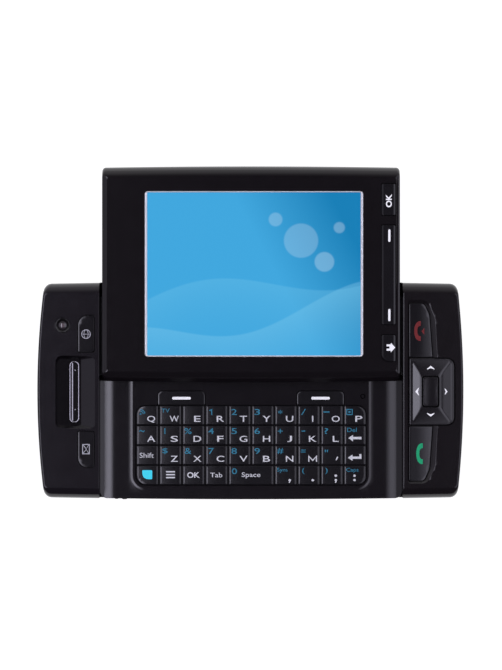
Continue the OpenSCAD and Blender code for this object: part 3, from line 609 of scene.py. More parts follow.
def glyphs(s, bold):
    """Flat shapes of a text in Blender's own plain font, centred on the middle of its capitals."""
    if (s, bold) not in _glyphs:
        cu = bpy.data.curves.new("t", "FONT")
        cu.body = s
        cu.size = 1.0
        cu.offset = bold
        cu.resolution_u = 4
        cu.align_x = "CENTER"
        o = bpy.data.objects.new("t", cu)
        bpy.context.scene.collection.objects.link(o)
        bpy.context.view_layer.update()
        me = bpy.data.meshes.new_from_object(o.evaluated_get(bpy.context.evaluated_depsgraph_get()))
        _glyphs[(s, bold)] = ([(v.co.x, v.co.y - 0.35) for v in me.vertices], [tuple(p.vertices) for p in me.polygons])
        bpy.data.objects.remove(o)
        bpy.data.curves.remove(cu)
        bpy.data.meshes.remove(me)
    return _glyphs[(s, bold)]


# ---------------------------------------------------------------- end housings
def inset(r, z):
    """What a rounded edge of radius r takes off at z above the start of its arc."""
    return 0.0 if z <= 0 else r - math.sqrt(max(0.0, r * r - z * z))


INNER_R = {-1: 0.12, 1: 0.32}     # edge beside the bay


def end_outline(s, z, more=0.0, n_arc=26, n_str=10):
    """Outline of an end housing at height z; s is -1 for the left one."""
    wl = inset(BAND_R, z - (ZC - BAND_H)) + more
    we = inset(0.5, z - (ZC - 0.5)) + more
    wi = inset(INNER_R[s], z - (ZC - INNER_R[s])) + more
    R, D = END_R[s] - we, END_R[s] - REACH[s]
    rc = max(0.9, 2.3 - 0.4 * wl - we)
    yc = HW - 0.52 - wl - rc
    cx = -D + math.sqrt((R - rc) ** 2 - yc ** 2)
    f0 = math.atan2(yc, cx + D)
    x0 = BAY + 0.01 + wi
    edge = lambda x: HW - wl - 0.52 * (x / cx) ** 2
    pts = []
    for i in range(n_str):
        x = x0 + (cx - x0) * i / n_str
        pts.append((x, -edge(x)))
    for i in range(9):
        t = -math.pi / 2 + (math.pi / 2 - f0) * i / 8
        pts.append((cx + rc * math.cos(t), -yc + rc * math.sin(t)))
    for i in range(1, n_arc):
        t = -f0 + 2 * f0 * i / n_arc
        pts.append((-D + R * math.cos(t), R * math.sin(t)))
    for i in range(9):
        t = f0 + (math.pi / 2 - f0) * i / 8
        pts.append((cx + rc * math.cos(t), yc + rc * math.sin(t)))
    for i in range(1, n_str + 1):
        x = cx + (x0 - cx) * i / n_str
        pts.append((x, edge(x)))
    y1 = edge(x0)
    for i in range(1, 20):
        pts.append((x0, y1 - 2 * y1 * i / 20))
    return pts if s > 0 else [(-x, y) for x, y in pts[::-1]]


def levels(*sets):
    return sorted({round(v, 4) for s in sets for v in s})


def rise(z0, r, angles):
    return [z0 + r * math.sin(math.radians(a)) for a in angles]


ZL = levels([SPLIT + 0.05, ZC - BAND_H], rise(ZC - BAND_H, BAND_R, range(5, 78, 5)),
            rise(ZC - 0.5, 0.5, (0, 22, 42, 60, 75, 90)), rise(ZC - 0.32, 0.32, (0, 30, 60, 90)))


def end_shell(s, holes, grid=1.2):
    m = Mesh()
    a = m.ring([(x * (1 - 0.0006), y * (1 - 0.002)) for x, y in end_outline(s, SPLIT)], SPLIT)
    bottom = a
    for z in ZL:
        b = m.ring(end_outline(s, z), z)
        m.strip(a, b)
        a = b
    b = m.ring(end_outline(s, ZC, 0.12), ZC)
    m.strip(a, b)
    a = b
    tops = []
    for loops, floor in holes:
        prev = None
        for pts, z in loops:
            c = m.ring(pts, z)
            if prev is None:
                tops.append(c)
            else:
                m.strip(c, prev)
            prev = c
        floor(m, prev)
    m.cap(a, tops, lambda x, y: ZC, grid)
    m.cap(bottom, (), None, 0, up=False)
    return m


def flat_floor(m, loop):
    m.cap(loop, (), None, 0)


BROWSER = [(-47.2, 10.5, 0.4), (-42.8, 10.5, 0.6), (-42.8, 20.5, 0.8), (-47.2, 20.5, 2.6)]
MAIL = [(-47.2, -21, 2.6), (-42.8, -21, 0.8), (-42.8, -11.1, 0.6), (-47.2, -11.1, 0.4)]
POCKET = 16.15                   # bottom of the key pockets


def key_hole(q, g=0.13, edge=0.10):
    return [(rpoly(off(q, -g - edge), 7), ZC), (rpoly(off(q, -g - edge * 0.3), 7), ZC - edge * 0.3),
            (rpoly(off(q, -g), 7), ZC - edge), (rpoly(off(q, -g), 7), POCKET)]


# the scoop round the earpiece: a long slope on the right, short steep walls elsewhere
EAR_TOP = [(-53.35, -10.3, 1.7), (-42.55, -10.3, 1.3), (-42.55, 9.3, 1.6), (-53.35, 9.7, 1.9)]
EAR_FOOT = [(-52.95, -9.55, 1.4), (-46.35, -9.35, 0.6), (-46.35, 8.55, 0.6), (-52.95, 8.75, 1.5)]
SCOOP = 0.94


def ear_loops():
    """From the edge of the scoop to its foot, in straight steps with a small round at the foot."""
    top, foot = np.array(rpoly(EAR_TOP, 7)), np.array(rpoly(EAR_FOOT, 7))
    out = []
    for t, d in ((0.0, 0.0), (0.1, 0.1), (0.3, 0.3), (0.5, 0.5), (0.7, 0.7), (0.88, 0.88), (0.97, 0.965), (1.0, 1.0)):
        out.append(([tuple(p) for p in top + (foot - top) * t], ZC - SCOOP * d))
    return out


def ear_floor(m, loop):
    q = rect(-49.6, -46.8, -8.8, 8.1, 1.3)
    prev = None
    for g, z in ((0.03, ZC - SCOOP), (0.0, 17.2), (0.0, 16.7)):
        c = m.ring(rpoly(off(q, -g), 7), z)
        if prev is None:
            top = c
        else:
            m.strip(c, prev)
        prev = c
    m.cap(prev, (), None, 0)
    m.cap(loop, [top], None, 0)


def circle(cx, cy, r, k=40):
    return [(cx + r * math.cos(2 * math.pi * i / k), cy + r * math.sin(2 * math.pi * i / k)) for i in range(k)]


CAM = (-51.4, 17.78)
left_o = end_shell(-1, [
    (ear_loops(), ear_floor),
    ([(circle(*CAM, 2.2), ZC), (circle(*CAM, 2.12), ZC - 0.04), (circle(*CAM, 2.08), ZC - 0.14), (circle(*CAM, 2.08), ZC - 1.3)], flat_floor),
    (key_hole(BROWSER, 0.18, 0.03), flat_floor),
    (key_hole(MAIL, 0.18, 0.03), flat_floor),
]).obj("left_end_shell", "housing", 12.5)
cut(left_o, [("box", -43.9, -BAY + 1, -28.2, 26.3, 12.0, 14.8)], 12.5)
place(left_o, "base", "housing_black", "left_end_housing")
# the faces of the earpiece scoop take the darker copy: painted shade in the recess
left_o.data.materials.append(MAT["scoop"])
for p in left_o.data.polygons:
    if -0.0536 < p.center.x < -0.0463 and -0.0105 < p.center.y < 0.0099 and 0.016 < p.center.z < 0.01815:
        p.material_index = 1

# right end housing: one scooped recess holds the end key, the pad and the call key
REC_TOP = [(42.70, -25.35, 0.9), (48.2, -25.35, 2.6), (50.35, -20.4, 7), (50.85, -9.62, 0.15), (55.74, -9.62, 2.35),
           (55.74, 9.02, 2.35), (50.85, 9.02, 0.15), (50.3, 19.4, 7), (48.15, 24.75, 2.6), (42.70, 24.75, 0.9)]
REC_FOOT = [(42.93, -25.0, 0.7), (47.6, -25.0, 1.9), (49.22, -21.0, 5), (49.98, -9.62, 0.12), (55.68, -9.58, 2.3),
            (55.68, 8.98, 2.3), (49.98, 9.02, 0.12), (49.15, 20.3, 5), (47.6, 24.3, 1.9), (42.93, 24.3, 0.7)]
REC_WALL = [(42.96, -24.85, 0.65), (47.45, -24.85, 1.75), (48.93, -21.4, 4), (49.78, -9.62, 0.1), (55.64, -9.56, 2.28),
            (55.64, 8.96, 2.28), (49.78, 9.02, 0.1), (48.9, 20.6, 4), (47.45, 23.98, 1.75), (42.96, 23.98, 0.65)]


def recess():
    top, foot = np.array(rpoly(REC_TOP, 7)), np.array(rpoly(REC_FOOT, 7))
    out = []
    for t, d in ((0.0, 0.0), (0.06, 0.01), (0.25, 0.075), (0.50, 0.17), (0.75, 0.265), (0.92, 0.33), (1.0, 0.40)):
        out.append(([tuple(p) for p in top + (foot - top) * t], ZC - d))
    w = rpoly(REC_WALL, 7)
    return out + [(w, ZC - 0.50), (w, POCKET)]


# the right end housing takes the darker plastic copy: painted shade for its less lit side
right_o = end_shell(1, [(recess(), flat_floor)]).obj("right_end_shell", "housing_r", 14)
cut(right_o, [("box", 44.0, 55.0, -9.0, 8.4, 14.4, 16.3), ("box", BAY - 1, 43.9, -28.2, 26.3, 12.0, 14.8), ("box", 42, 45.8, 28, 31, 7.9, 10.1)], 14)
place(right_o, "base", "housing_black", "right_end_housing")


# ---------------------------------------------------------------- keyboard deck
HX = BAY - 0.03
# slope of the shoulders in degrees by distance from the middle; after the last one a narrow
# slope runs up to the end housing
TILT = {-1: [(37.2, 0), (37.63, 0.9), (37.9, 2.0), (38.18, 3.2), (38.45, 4.2), (38.73, 5.2), (39.0, 6.0), (39.28, 6.4), (39.55, 5.8), (39.83, 4.9), (40.1, 4.1), (40.24, 3.6)],
        1: [(36.4, 0), (36.8, 0.7), (37.08, 1.4), (37.63, 3.0), (38.18, 4.9), (38.6, 6.0), (39.0, 5.4), (39.28, 4.6), (39.55, 3.8), (39.8, 3.2)]}
RISE = {-1: 0.40, 1: 0.44}


def deck_z(x):
    s = 1 if x > 0 else -1
    p, z = TILT[s], ZD
    for (x0, a0), (x1, a1) in zip(p, p[1:]):
        if abs(x) <= x0:
            return z
        e = min(abs(x), x1)
        a = a0 + (a1 - a0) * (e - x0) / (x1 - x0)
        z -= (e - x0) * math.tan(math.radians((a0 + a) / 2))
    return z + max(0.0, abs(x) - p[-1][0]) * RISE[s]


def deck_half(x, d):
    return HW + 0.10 - BOW * x * x - d


def deck_edge_x(y, d):
    """Where the end of the deck lies at y: the corners towards -Y are rounded."""
    r, cy = 2.0 - d, -(29.44 - 2.0)
    if y >= cy:
        return HX - d
    return HX - 2.0 + math.sqrt(max(0.0, r * r - (y - cy) ** 2))


COLS = {s: [33.9, 35.0, 36.0] + sorted(t[0] for t in TILT[s]) + [TILT[s][-1][0] + d for d in (0.3, 0.6, 0.9)] + [41.5] for s in (-1, 1)}
COLS[-1].insert(3, 36.6)
NC = len(COLS[-1])
while len(COLS[1]) < NC:
    COLS[1].insert(1, (COLS[1][0] + COLS[1][1]) / 2)
ROWS = ([-(29.44 - 2.0) - (2.0 - 0.05) * math.sin(math.radians(a)) for a in (90, 80, 70, 60, 50, 40, 30, 20, 10)]
        + [-27.44 + 56.77 * i / 26 for i in range(27)])
MIDX = [-33.9 + 67.8 * i / 30 for i in range(31)]


def deck():
    m = Mesh()
    e = 0.05
    grid = {}
    ymin = ROWS[0]
    for s in (-1, 1):
        for j, y in enumerate(ROWS):
            for i, x in enumerate(COLS[s]):
                xx = min(x, deck_edge_x(y, e))
                # the rows follow the bowed side
                k = deck_half(xx, e) / (29.44 - e)
                yy = y * (k if y < 0 else deck_half(xx, e) / ROWS[-1])
                grid[s, i, j] = len(m.v)
                m.v.append((s * xx, yy, deck_z(s * xx)))
        for j in range(len(ROWS) - 1):
            for i in range(NC - 1):
                q = [grid[s, i, j], grid[s, i + 1, j], grid[s, i + 1, j + 1], grid[s, i, j + 1]]
                m.f.append(q if s > 0 else q[::-1])
    # middle part, with the raised field
    loop = [grid[-1, 0, 0]]
    bot = m.ring([(x, -deck_half(x, e)) for x in MIDX[1:-1]], ZD)
    top = m.ring([(x, deck_half(x, e)) for x in MIDX[1:-1]], ZD)
    loop += bot + [grid[1, 0, j] for j in range(len(ROWS))] + top[::-1] + [grid[-1, 0, j] for j in range(len(ROWS) - 1, 0, -1)]
    fq = [(-33, -27.4, 4.1), (32.85, -27.4, 4.1), (32.85, 4.9, 0.5), (-33, 4.9, 0.5)]
    prev = None
    for d, z in ((0.0, ZD), (0.02, ZD + 0.002), (0.50, ZD + 0.074), (0.54, ZD + 0.078), (0.60, ZF)):
        c = m.ring(rpoly(off(fq, d), 10), z)
        if prev is None:
            foot = c
        else:
            m.strip(prev, c)
        prev = c
    c = m.ring(rpoly(off(fq, 0.72), 10), ZF)
    m.strip(prev, c)
    prev = c
    slot = m.ring([(-7.6, 6.3), (7.6, 6.3), (7.6, 6.8), (-7.6, 6.8)], ZD)
    m.cap(loop, [foot, slot], lambda x, y: ZD, 2.2)
    s2 = m.ring([(-7.6, 6.3), (7.6, 6.3), (7.6, 6.8), (-7.6, 6.8)], 9)
    m.strip(s2, slot)
    m.cap(s2, (), None, 0)
    # opening of the keys in the field
    x0, x1, y0, y1 = KX0 - 0.12, -KX0 + 0.12, KY1 - 4 * PY - 0.12, KY1 + 0.1
    s0, s1 = SOFT_X - 6.58, SOFT_X + 6.58
    q = [(x0, y0, 2.75), (x1, y0, 2.35), (x1, y1, 2.55), (s1, y1, 0.05), (s1, -0.07, 1.35), (s0, -0.07, 1.35), (s0, y1, 0.05),
         (-s0, y1, 0.05), (-s0, -0.07, 1.35), (-s1, -0.07, 1.35), (-s1, y1, 0.05), (x0, y1, 2.5)]
    hole = m.ring(rpoly(off(q, -0.05), 6), ZF)
    micr = m.ring(circle(30.65, -1.62, 0.72, 24), ZF)
    m.cap(prev, [hole, micr], lambda x, y: ZF, 1.8)
    h2 = m.ring(rpoly(q, 6), ZF - 0.06)
    h3 = m.ring(rpoly(q, 6), 9.22)
    m.strip(h2, hole)
    m.strip(h3, h2)
    m.cap(h3, (), None, 0)
    for r, z in ((0.70, ZF - 0.55), (0.45, ZF - 0.55), (0.41, ZF - 0.06)):
        mic2 = m.ring(circle(30.65, -1.62, r, 24), z)
        m.strip(mic2, micr)
        micr = mic2
    m.cap(mic2, (), None, 0)
    # side walls
    n, k = len(ROWS), NC - 1
    edge = ([grid[-1, i, 0] for i in range(k, -1, -1)] + bot + [grid[1, i, 0] for i in range(k + 1)]
            + [grid[1, k, j] for j in range(1, n)] + [grid[1, i, n - 1] for i in range(k - 1, -1, -1)] + top[::-1]
            + [grid[-1, i, n - 1] for i in range(k + 1)] + [grid[-1, k, j] for j in range(n - 2, 0, -1)])
    keep = [edge[0]]
    for v in edge[1:]:
        if max(abs(m.v[v][0] - m.v[keep[-1]][0]), abs(m.v[v][1] - m.v[keep[-1]][1])) > 1e-6:
            keep.append(v)
    edge = keep

    def grow(p):
        x, y, z = p
        s = 1 if x > 0 else -1
        cy = -27.44
        if y < cy and abs(x) > HX - 2.0 - 1e-6:
            dx, dy = abs(x) - (HX - 2.0), y - cy
            L = max(1e-6, math.hypot(dx, dy))
            return (s * (abs(x) + e * dx / L), y + e * dy / L)
        gx = e if abs(x) > HX - e - 1e-4 else 0.0
        gy = 0.0
        if abs(y) > deck_half(x, e) - 1e-3:
            gy = math.copysign(e, y)
        return (x + s * gx, y + gy)

    outer = [grow(m.v[i]) for i in edge]
    w1 = []
    for (x, y), i in zip(outer, edge):
        w1.append(len(m.v))
        m.v.append((x, y, m.v[i][2] - 0.1))
    m.strip(w1, edge)
    w2 = m.ring(outer, SPLIT + 0.05)
    m.strip(w2, w1)
    w3 = m.ring([(x * 0.9992, y * 0.998) for x, y in outer], SPLIT)
    m.strip(w3, w2)
    m.cap(w3, (), None, 0, up=False)
    return m


deck_o = deck().obj("deck_shell", ["deck", "field"], 14)
cut(deck_o, [("box", -38.2, -33.4, -31, -28.4, 6.3, 8.4)], 14)
for p in deck_o.data.polygons:
    c = p.center / MM
    if abs(c.x) < 32.3 and -26.9 < c.y < 4.2 and c.z > 9:
        p.material_index = 1
place(deck_o, "base", "deck_black", "keyboard_deck")
# walls of the microphone hole and of the soft key openings are painted near-black: painted shade in hole and gaps
deck_o.data.materials.append(MAT["pit"])
for p in deck_o.data.polygons:
    if math.hypot(p.center.x * 1000 - 30.65, p.center.y * 1000 + 1.62) < 0.76 and 0.0102 < p.center.z < ZF / 1000 - 0.00012:
        p.material_index = len(deck_o.data.materials) - 1
    if (abs(p.normal.z) < 0.95 and abs(abs(p.center.x) * 1000 - SOFT_X) < 7 and -0.0041 < p.center.y < 0.0003
            and p.center.z < ZF / 1000 - 0.00001):
        p.material_index = len(deck_o.data.materials) - 1


# ---------------------------------------------------------------- keyboard keys
K_TOP = 11.0


def key_surface(x0, x1, y0, y1):
    """Crown: the left part leans left and runs level towards the right edge."""
    def f(x, y):
        t = min(1.0, max(0.0, (x - x0) / 6.1))
        v = (y - (y0 + y1) / 2) / (y1 - y0)
        return K_TOP - 0.015 - LEAN * 3.05 * (1 - t) ** 2 - 0.012 * v * v
    return f


LEAN = 0.037


def keycap(m, x0, x1, y0, y1, r):
    f = key_surface(x0, x1, y0, y1)
    rings = [  # (left, right, bottom, top inset, drop, radius change)
        (0.05, 0.05, 0.05, 0.05, None, 0.0),
        (0.0, 0.0, 0.0, 0.0, -0.42, 0.0),
        (0.02, 0.02, 0.02, 0.02, -0.26, 0.0),
        (0.08, 0.07, 0.07, 0.06, -0.12, -0.06),
        (0.24, 0.16, 0.16, 0.13, -0.045, -0.12),
        (0.42, 0.52, 0.30, 0.24, 0.0, -0.2),
    ]
    prev = None
    for l, rr, b, t, d, dr in rings:
        q = rect(x0 + l, x1 - rr, y0 + b, y1 - t, [max(0.06, v + dr) for v in r])
        pts = rpoly(q, 6)
        if d is None:
            c = m.ring(pts, 9.55)
            m.cap(c, (), None, 0, up=False)
        else:
            c = m.ring(pts, lambda x, y, d=d: f(x, y) + d)
            m.strip(prev, c)
        prev = c
    m.cap(prev, (), f, 0.62)
    return f


def cell(c, r, w=1):
    return (KX0 + c * PX + 0.075, KX0 + (c + w) * PX - 0.075, KY1 - (r + 1) * PY + 0.075, KY1 - r * PY - 0.075)


R0 = 0.35
groups = {
    "letters_row_1": [(c, 0, 1, [R0, R0, 2.45 if c == 9 else R0, 2.4 if c == 0 else R0]) for c in range(10)],
    "letters_row_2": [(c, 1, 1, [R0] * 4) for c in range(9)],
    "letters_row_3": [(c, 2, 1, [R0] * 4) for c in range(1, 9)],
    "punctuation_keys": [(c, 3, 1, [R0, 2.2 if c == 9 else R0, R0, R0]) for c in (6, 7, 8, 9)],
    "backspace_key": [(9, 1, 1, [R0] * 4)],
    "shift_key": [(0, 2, 1, [R0] * 4)],
    "enter_key": [(9, 2, 1, [R0] * 4)],
    "fn_key": [(0, 3, 1, [2.6, R0, R0, R0])],
    "start_key": [(1, 3, 1, [R0] * 4)],
    "ok_key": [(2, 3, 1, [R0] * 4)],
    "tab_key": [(3, 3, 1, [R0] * 4)],
    "space_key": [(4, 3, 2, [R0] * 4)],
}
surf = {}
for node, cells in groups.items():
    m = Mesh()
    for c, r, w, rr in cells:
        surf[(c, r)] = keycap(m, *cell(c, r, w), rr)
    place(m.obj(node + "_caps", "key", 50), node, "key_black", node)


def surface_of(cells):
    def f(x, y):
        for c, r, w, _ in cells:
            x0, x1, y0, y1 = cell(c, r, w)
            if x0 - 0.3 <= x <= x1 + 0.3 and y0 - 0.3 <= y <= y1 + 0.3:
                return surf[(c, r)](x, y)
        return K_TOP
    return f


MAIN = {0: "QWERTYUIOP", 1: "ASDFGHJKL", 2: "ZXCVBNM'"}
ALT = {0: ["~wifi", "TV", "", "1", "2", "3", "*", "/", "-", "~at"],
       1: ["~", "|", "%", "4", "5", "6", "+", "-", "?"],
       2: ["$", "&", "7", "8", "9", "#", "=", '"']}
WIDE = {"W": 2.50, "M": 2.35, "Q": 2.2, "O": 2.2, "G": 2.15, "C": 2.1, "D": 2.1, "N": 2.05, "H": 2.0, "U": 2.05, "A": 2.25,
        "V": 2.2, "X": 2.2, "Y": 2.2, "T": 2.0, "R": 2.0, "K": 2.05, "B": 1.95, "P": 1.95, "Z": 1.95, "S": 2.0, "E": 1.8, "F": 1.75,
        "L": 1.65, "J": 1.35, "I": 0.34}
ALT_WIDE = {"1": 0.85, "|": 0.26, "%": 2.0, "&": 1.85, "#": 1.7, "$": 1.45, "*": 1.2, "~": 1.5, "+": 1.35, "=": 1.3, '"': 0.9, "?": 1.0}
ALT_HIGH = {"~": 0.55, "+": 1.25, "=": 0.75, '"': 0.7, "*": 1.1}


def add_marks(node, white, blue, mats=("white", "blue")):
    for mk, mat, slot in ((white, mats[0], "legend_white"), (blue, mats[1], "legend_blue")):
        if mk and mk.f:
            place(mk.obj(f"{node}_{'legend' if mk is white else 'second_legend'}", mat), node, slot)


for row, node in ((0, "letters_row_1"), (1, "letters_row_2"), (2, "letters_row_3")):
    zf = surface_of(groups[node])
    W, B = Marks(zf), Marks(zf)
    first = 1 if row == 2 else 0
    for i, ch in enumerate(MAIN[row]):
        c = first + i
        x0, x1, y0, y1 = cell(c, row)
        mx, my = x0 + 4.18, y0 + 1.70
        if ch == "'":
            W.stroke([(mx + 0.55, my + 0.55), (mx + 0.1, my - 0.35)], 0.34)
        elif ch == "M":
            W.stroke([(mx - 1.05, my - 0.82), (mx - 1.05, my + 0.70), (mx, my - 0.45), (mx + 1.05, my + 0.70), (mx + 1.05, my - 0.82)], 0.30)
        else:
            w, low = WIDE[ch], 0.22 if ch == "Q" else 0.0
            W.fit(ch, mx - w / 2, mx + w / 2, my - 0.82 - low, my + 0.82)
        a = ALT[row][i]
        ax, ay = x0 + 1.62, y1 - (1.75 if row == 0 else 1.5)
        if a == "~wifi":
            B.disc(ax - 0.35, ay - 0.55, 0.26)
            B.arc(ax - 0.35, ay - 0.55, 0.72, 5, 95, 0.24)
            B.arc(ax - 0.35, ay - 0.55, 1.18, 5, 95, 0.24)
        elif a == "~at":
            B.stroke([(ax - 0.75, ay - 0.7), (ax + 0.75, ay - 0.7), (ax + 0.75, ay + 0.7), (ax - 0.75, ay + 0.7)], 0.24, True)
            B.bar(ax - 0.28, ax + 0.28, ay - 0.26, ay + 0.26, 0.1)
        elif a == "-":
            h = 0.85 if row == 0 else 0.5
            B.bar(ax - h, ax + h, ay - 0.15, ay + 0.15, 0.05)
        elif a == "/":
            B.stroke([(ax - 0.45, ay - 0.8), (ax + 0.55, ay + 0.8)], 0.25)
        elif a == "1":
            B.stroke([(ax - 0.45, ay + 0.38), (ax + 0.18, ay + 0.68), (ax + 0.18, ay - 0.82)], 0.27)
        elif a == "TV":
            B.fit(a, x0 + 0.65, x0 + 2.9, y1 - 1.9, y1 - 0.85, 0.0)
        elif a:
            w, h = ALT_WIDE.get(a, 1.5), ALT_HIGH.get(a, 1.62)
            B.fit(a, ax - w / 2, ax + w / 2, ay - h / 2, ay + h / 2, 0.004)
    if row == 1:  # the nub that finds the forefinger's key
        x0, x1, y0, y1 = cell(6, 1)
        N = Marks(zf, 0.10)
        N.bar(x0 + 3.2, x0 + 4.6, y1 - 2.2, y1 - 1.95)
        place(N.obj("finder_nub", "key"), node, "key_black", node)
    add_marks(node, W, B)

zf = surface_of(groups["punctuation_keys"])
W, B = Marks(zf), Marks(zf)
for c, main, alt in ((6, ",", "Sym"), (7, ".", "("), (8, ";", ")"), (9, ":", "Caps")):
    x0, x1, y0, y1 = cell(c, 3)
    mx, my = x0 + (3.0 if c == 9 else 4.2), y0 + 1.6
    if main in ".,":
        W.disc(mx, my - 0.3, 0.34)
    else:
        W.disc(mx, my + 0.95, 0.34)
        W.disc(mx, my - 0.25, 0.34)
    if main in ",;":
        W.stroke([(mx + 0.2, my - 0.35), (mx - 0.15, my - 1.0)], 0.30)
    if len(alt) > 1:
        B.fit(alt, x0 + 0.75, x0 + (4.1 if c == 9 else 3.5), y1 - 2.0, y1 - 0.65, 0.0)
    else:
        B.fit(alt, x0 + 1.3, x0 + 1.95, y1 - 2.35, y1 - 0.6, 0.004)
add_marks("punctuation_keys", W, B)


def one(node, c, r, w=1):
    zf = surface_of(groups[node])
    x0, x1, y0, y1 = cell(c, r, w)
    return Marks(zf), Marks(zf), x0, x1, y0, y1


W, B, x0, x1, y0, y1 = one("backspace_key", 9, 1)
B.fit("Del", x0 + 1.0, x0 + 3.6, y1 - 1.75, y1 - 0.6, 0.0)
ax, ay = x0 + 1.3, y0 + 1.9
W.poly([(ax, ay), (ax + 1.3, ay - 0.88), (ax + 1.3, ay - 0.34), (ax + 3.6, ay - 0.34), (ax + 3.6, ay + 0.34), (ax + 1.3, ay + 0.34), (ax + 1.3, ay + 0.88)])
add_marks("backspace_key", W, B)
W, B, x0, x1, y0, y1 = one("enter_key", 9, 2)
ax, ay = x0 + 1.2, y0 + 2.0
W.poly([(ax, ay), (ax + 1.25, ay - 0.85), (ax + 1.25, ay - 0.32), (ax + 3.7, ay - 0.32), (ax + 3.7, ay + 1.0), (ax + 3.12, ay + 1.0), (ax + 3.12, ay + 0.32), (ax + 1.25, ay + 0.32), (ax + 1.25, ay + 0.85)])
add_marks("enter_key", W, B)
W, B, x0, x1, y0, y1 = one("shift_key", 0, 2)
W.fit("Shift", x0 + 1.0, x0 + 4.9, y0 + 1.95, y0 + 3.35, 0.0)
add_marks("shift_key", W, B)
W, B, x0, x1, y0, y1 = one("fn_key", 0, 3)
B.poly(rpoly([(x0 + 1.73, y0 + 1.6, 1.6), (x0 + 4.46, y0 + 1.6, 0.25), (x0 + 4.46, y0 + 4.05, 0.25), (x0 + 1.73, y0 + 4.05, 0.25)], 8))
place(B.obj("fn_key_mark", "cyan"), "fn_key", "legend_cyan")
W, B, x0, x1, y0, y1 = one("start_key", 1, 3)
for i in range(3):
    W.bar(x0 + 1.9, x0 + 4.4, y0 + 1.85 + i * 0.8, y0 + 2.22 + i * 0.8, 0.12)
add_marks("start_key", W, B)
W, B, x0, x1, y0, y1 = one("ok_key", 2, 3)
W.fit("OK", x0 + 1.4, x0 + 4.8, y0 + 1.95, y0 + 3.5, 0.02)
add_marks("ok_key", W, B)
W, B, x0, x1, y0, y1 = one("tab_key", 3, 3)
W.fit("Tab", x0 + 1.4, x0 + 4.7, y0 + 2.1, y0 + 3.35, 0.004)
add_marks("tab_key", W, B)
W, B, x0, x1, y0, y1 = one("space_key", 4, 3, 2)
W.fit("Space", x0 + 3.7, x0 + 8.8, y0 + 1.8, y0 + 3.45, 0.004)
B.fit("0", x0 + 1.0, x0 + 2.4, y1 - 2.35, y1 - 0.75, 0.004)
add_marks("space_key", W, B)

# soft keys
for s, node in ((-1, "softkey_left"), (1, "softkey_right")):
    m = Mesh()
    cx = s * SOFT_X
    zfk = lambda x, y, cx=cx: -0.03 * ((x - cx) / 6.4) ** 2 - 0.02 * ((y + 2.1) / 1.9) ** 2
    plate(m, [(cx - 6.43, -3.95, 0.25), (cx + 6.43, -3.95, 0.25), (cx + 6.43, -0.2, 1.3), (cx - 6.43, -0.2, 1.3)],
          9.55, 10.9, 0.06, 6, zfk, (), 0.8)
    # the cut edges of the soft key caps are painted near-black: painted shade in the gap round each key
    painted_shade_rim(place(m.obj(node + "_cap", "key", 12), node, "key_black", node))
    W = Marks(lambda x, y, zfk=zfk: 10.9 + zfk(x, y))
    W.bar(cx - 2.55, cx + 2.55, -2.52, -1.78)
    place(W.obj(node + "_bar", "lit"), node, "legend_white")


# ---------------------------------------------------------------- display half
# inset of the short sides by height: two narrow facets with a step between them
FACET = {-1: [(0.0, 0.0), (18.52, 0.0), (18.585, 0.03), (18.62, 0.09), (18.735, 0.60), (18.80, 0.62), (18.965, 1.26), (19.0, 1.285)],
         1: [(0.0, 0.0), (18.38, 0.0), (18.435, 0.03), (18.47, 0.09), (18.64, 0.48), (18.71, 0.50), (18.965, 0.93), (19.0, 0.955)]}


def facet_in(s, z):
    p = FACET[s]
    for (z0, w0), (z1, w1) in zip(p, p[1:]):
        if z <= z1:
            return w0 + (w1 - w0) * (z - z0) / (z1 - z0)
    return p[-1][1]


def near_in(z):
    """Long side towards the keyboard: rounded above, then a straight steep face."""
    z45 = ZS - BAND_H + SB_R * math.sin(math.radians(45.5))
    w45 = inset(SB_R, z45 - (ZS - BAND_H))
    return inset(SB_R, z - (ZS - BAND_H)) if z >= z45 else max(0.0, w45 - (z45 - z) / math.tan(math.radians(70)))


def slider_outline(z, lo, n_x=30, n_y=14, more=0.0):
    wn = 0.0
    if lo:
        wt = inset(1.0, 12.4 - z)
        wn = wt
        wx = {s: inset(0.6, 12.0 - z) for s in (-1, 1)}
    else:
        wt = inset(SB_R, z - (ZS - BAND_H)) + more
        wn = near_in(z) + more
        wx = {s: facet_in(s, z) + more * 0.2 for s in (-1, 1)}
    bow = lambda x: -SBOW * x * x
    pts = []
    for sx, sy, t0 in ((-1, -1, 180), (1, -1, 270), (1, 1, 0), (-1, 1, 90)):
        wy = wn if sy < 0 else wt
        hy = SW - wy
        rc = max(0.3, 1.0 - min(wx[sx], wy))
        ex = SL - wx[sx] - rc
        b = bow(ex)
        cx, cy = sx * ex, SY + sy * (hy + b - rc)
        for i in range(7):
            t = math.radians(t0 + 90 * i / 6)
            pts.append((cx + rc * math.cos(t), cy + rc * math.sin(t)))
        if sx * sy > 0:          # along the long edges
            ro = max(0.3, 1.0 - min(wx[-sx], wy))
            far = -sx * (SL - wx[-sx] - ro)
            for i in range(1, n_x):
                x = sx * ex + (far - sx * ex) * i / n_x
                pts.append((x, SY + sy * (hy + bow(x))))
        else:
            wo = wt if sy < 0 else wn
            rc2 = max(0.3, 1.0 - min(wx[sx], wo))
            end = SY - sy * (SW - wo + bow(SL - wx[sx] - rc2) - rc2)
            for i in range(1, n_y):
                pts.append((sx * (SL - wx[sx]), cy + (end - cy) * i / n_y))
    return pts


OKQ = rect(35.55, 39.45, SY + 16, SY + 24.7, 0.4)
STRIPQ = rect(35.55, 39.45, SY - 13.8, SY + 13.4, 0.4)
HOMEQ = [(35.55, SY - 23.85, 2), (39.45, SY - 23.85, 0.4), (39.45, SY - 16.5, 0.4), (35.55, SY - 16.5, 0.4)]
TX0, TX1, TY0, TY1 = 0.9 - 29.9, 0.9 + 29.7, SY + 0.05 - 22.6, SY + 0.05 + 22.6


def seam(pts):
    return [(x * 0.9994, SY + (y - SY) * 0.9992) for x, y in pts]


